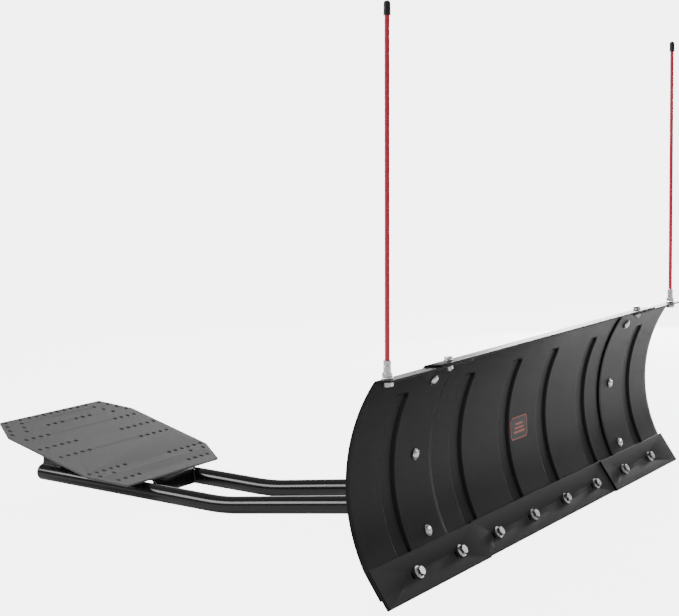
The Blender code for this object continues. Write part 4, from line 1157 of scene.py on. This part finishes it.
# %% Mount plate with its rows of holes
MOUNT_TILT = math.radians(20.0)
MOUNT_THICK = 0.0045
MOUNT_LENGTH = 0.395
HOLE_R, HOLE_PITCH = 0.0055, 0.024
NOSE_Z = 0.0681
tilted = Matrix.Translation((0.0, NOSE_Y, NOSE_Z)) @ Matrix.Rotation(MOUNT_TILT, 4, "X")


def row(count, inner, y):
    """Holes on both sides of the middle, outwards from inner."""
    return [(side * (inner + HOLE_PITCH * k), y) for side in (-1, 1) for k in range(count)]


hole_rows = [(4, 0.0905, 0.030), (6, 0.0805, 0.083), (1, 0.1395, 0.063), (1, 0.1867, 0.063),
             (5, 0.0925, 0.182), (6, 0.0815, 0.236), (4, 0.118, 0.291), (3, 0.0245, 0.335),
             (4, 0.0122, 0.3865), (1, 0.1145, 0.3865), (1, 0.163, 0.3865)]
hole_rows += [(1, 0.163 + 0.0124 * k, 0.3885 - 0.0205 * k) for k in (1, 2, 3)]
hole_rows += [(1, 0.1145 + 0.0125 * k, 0.3895 - 0.0205 * k) for k in (1, 2, 3)]
mount_holes = [spot for line in hole_rows for spot in row(*line)]
mount_outline = [(-0.167, 0.0), (0.167, 0.0), (0.215, 0.075), (0.218, 0.322), (0.173, MOUNT_LENGTH),
                 (-0.173, MOUNT_LENGTH), (-0.218, 0.322), (-0.215, 0.075)]
mount_mesh = plate(mount_outline, MOUNT_THICK, [circle(x, y, HOLE_R, 20) for x, y in mount_holes], rim=0.0003,
                   place=tilted @ Matrix.Translation((0, 0, -MOUNT_THICK / 2)))
show_plate("drilled_plate", mount_mesh, textured_black, "mount_plate", "mount_plate")
print(len(mount_holes), "holes in the mount plate")

# %% Clevis channels and hinge rod
CLEVIS_HALF, CLEVIS_WALL = 0.0155, 0.004
hinge_local = tilted.inverted() @ Vector((0.0, *HINGE))
web_top = -MOUNT_THICK - GAP
leg_outline = [(hinge_local.y - 0.022, web_top), (hinge_local.y - 0.015, hinge_local.z)]
leg_outline += arc((hinge_local.y, hinge_local.z), 0.015, 180, 360, 24)
leg_outline += [(hinge_local.y + 0.022, web_top)]
web_outline = [(hinge_local.y - 0.022, web_top), (hinge_local.y - 0.0214, web_top - CLEVIS_WALL),
               (hinge_local.y + 0.0214, web_top - CLEVIS_WALL), (hinge_local.y + 0.022, web_top)]
for word, side in SIDES:
    x = side * TUBE_X
    shells = [plate(web_outline, 2 * (CLEVIS_HALF - CLEVIS_WALL) + 0.0002, place=tilted @ side_plate(x))]
    for step in (-1, 1):
        leg_x = x + step * (CLEVIS_HALF - CLEVIS_WALL / 2)
        shells.append(plate(leg_outline, CLEVIS_WALL, [circle(hinge_local.y, hinge_local.z, HINGE_R + GAP)],
                            place=tilted @ side_plate(leg_x)))
    show_plate(f"{word}_channel", joined(shells), satin_black, "mount_plate", f"clevis_{word}")
    for step in (-1, 1):
        edge = x + step * (CLEVIS_HALF + WELD_PROUD)
        seam = [tilted @ Vector((edge, hinge_local.y + along_plate, web_top + 0.0001))
                for along_plate in (-0.019, 0.019)]
        show(f"{word}_channel_weld_{'right' if step > 0 else 'left'}", weld(seam, radius=0.0030), satin_black,
             "mount_plate")
cross_rod("hinge_cross_rod", 0.114, *HINGE, HINGE_R, "mount_plate", "mount_hinge_rod")

# %% [markdown]
# ## The label
# A small printed label on the middle of the blade: an orange frame with plain bars and no words. It
# is a thin film that follows the curve of the sheet, between two beads.

# %% Label film
LABEL_AT = (-0.0165, 0.192)
FILM, FILM_STEPS = 0.00012, 12
FILM_LIFT = 0.0001           # the label's frame stands this far off the sheet
FRAME_WIDTH = 0.0022
label_back = LAP - SHEET


def film(x_low, x_high, up_low, up_high, lift, cut=0.0):
    """A thin curved film on the front of the centre section. cut chamfers its corners."""
    radius = FACE_RADIUS + label_back
    middle = face_angle(LABEL_AT[1], label_back)
    bm = bmesh.new()
    loops = []
    for depth in (lift, lift + FILM):
        loop = []
        for k in range(FILM_STEPS + 1):
            up_along = up_low + (up_high - up_low) * k / FILM_STEPS
            spot = face_point(middle + up_along / radius, label_back - depth)
            inset = max(0.0, cut - min(up_along - up_low, up_high - up_along))
            loop.append([bm.verts.new((LABEL_AT[0] + x, *spot)) for x in (x_low + inset, x_high - inset)])
        loops.append(loop)
    back_row, front_row = loops
    for k in range(FILM_STEPS):
        bm.faces.new((back_row[k][0], back_row[k][1], back_row[k + 1][1], back_row[k + 1][0]))
        bm.faces.new((front_row[k][0], front_row[k + 1][0], front_row[k + 1][1], front_row[k][1]))
        for end in (0, 1):
            bm.faces.new((back_row[k][end], back_row[k + 1][end], front_row[k + 1][end], front_row[k][end]))
    for k in (0, FILM_STEPS):
        bm.faces.new((back_row[k][0], back_row[k][1], front_row[k][1], front_row[k][0]))
    return mesh_from(bm)


LABEL_HALF = (0.037, 0.0225)
wide, tall = LABEL_HALF
show("label_frame", film(-wide, wide, -tall, tall, FILM_LIFT, cut=0.006), label_orange, "blade")
wide, tall = wide - FRAME_WIDTH, tall - FRAME_WIDTH
field = film(-wide, wide, -tall, tall, FILM_LIFT + FILM * 1.5, cut=0.005)
show("label_field", field, label_black, "blade")
label_bars = [film(-0.024 + 0.004 * k, 0.024 - 0.004 * k, -0.0105 + 0.008 * k, -0.0060 + 0.008 * k,
                   FILM_LIFT + FILM * 3) for k in range(3)]
show("label_bars", joined(label_bars), label_orange, "blade")

# %% [markdown]
# ## Light
# Product pictures of black things are lit by what they mirror. A dim, even room gives the powder coat
# its dark tone, which brightens only where it is seen at a flat angle, and a few soft boxes draw the
# lines on tubes, rims and bolts. The floor and the sky look white, as an overexposed sweep does: the
# camera sees extra white there that the plow doesn't mirror.

# %% Floor
SKY_WHITE, SKY_DIM = 5.5, 0.33
FLOOR_WHITE = 0.70           # share of the floor that is overexposed white
FLOOR_PALE = 0.90
pale_floor = Finish("pale_floor", Roughness=0.75)
pale_floor.set("Base Color", pale_floor.mix(pale_floor.noise(3.0), (FLOOR_PALE,) * 3,
                                            (FLOOR_PALE * 0.98,) * 3))
seen = pale_floor.add("ShaderNodeLightPath", out="Is Camera Ray")
as_sky = (SKY_WHITE - (1 - FLOOR_WHITE) * FLOOR_PALE * SKY_DIM) / FLOOR_WHITE
white = pale_floor.add("ShaderNodeEmission", None, {"Color": (1.0, 1.0, 1.0), "Strength": as_sky})
lit = Value(pale_floor, pale_floor.shader.outputs[0])
both = pale_floor.add("ShaderNodeMixShader", None, {0: seen * FLOOR_WHITE, 1: lit, 2: white})
pale_floor.put(pale_floor.tree.nodes["Material Output"].inputs["Surface"], both)
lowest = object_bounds()[0][2]
bm = bmesh.new()
bmesh.ops.create_grid(bm, x_segments=2, y_segments=2, size=60.0,
                      matrix=Matrix.Translation((0, 0, lowest - 0.0002)))
floor = bpy.data.objects.new("floor", mesh_from(bm))
floor.data.materials.append(pale_floor.material)
bpy.context.scene.collection.objects.link(floor)

# %% Sky
world = bpy.data.worlds.new("studio")
world.use_nodes = True
sky = Wiring(world.node_tree)
seen = sky.add("ShaderNodeLightPath", out="Is Camera Ray")
backdrop = world.node_tree.nodes["Background"].inputs
sky.put(backdrop["Color"], (1.0, 1.0, 1.0))
sky.put(backdrop["Strength"], seen * (SKY_WHITE - SKY_DIM) + SKY_DIM)
bpy.context.scene.world = world


# %% Soft boxes
def soft_box(name, at, aim, size, power):
    light = bpy.data.lights.new(name, "AREA")
    light.shape = "RECTANGLE"
    light.size, light.size_y = size
    light.energy = power
    lamp = bpy.data.objects.new(name, light)
    turn = (Vector(aim) - Vector(at)).to_track_quat("-Z", "Y").to_matrix().to_4x4()
    lamp.matrix_world = Matrix.Translation(at) @ turn
    lamp.visible_camera = False
    bpy.context.scene.collection.objects.link(lamp)


soft_box("key_front", at=(2.6, -3.2, 2.0), aim=(0.0, -0.5, 0.2), size=(1.6, 1.6), power=22)
soft_box("side_right", at=(3.7, 0.15, 0.75), aim=(0.4, -0.5, 0.25), size=(2.2, 1.3), power=150)
soft_box("low_behind", at=(4.3, 2.6, 0.95), aim=(0.0, 0.0, 0.25), size=(3.0, 1.3), power=38)
soft_box("top", at=(0.0, 0.2, 3.4), aim=(0.0, 0.0, 0.0), size=(1.6, 1.6), power=70)
soft_box("back_left", at=(-3.0, 2.6, 2.4), aim=(0.0, 0.3, 0.1), size=(1.6, 1.6), power=90)
print("sky", SKY_WHITE, "soft boxes", len(bpy.data.lights))
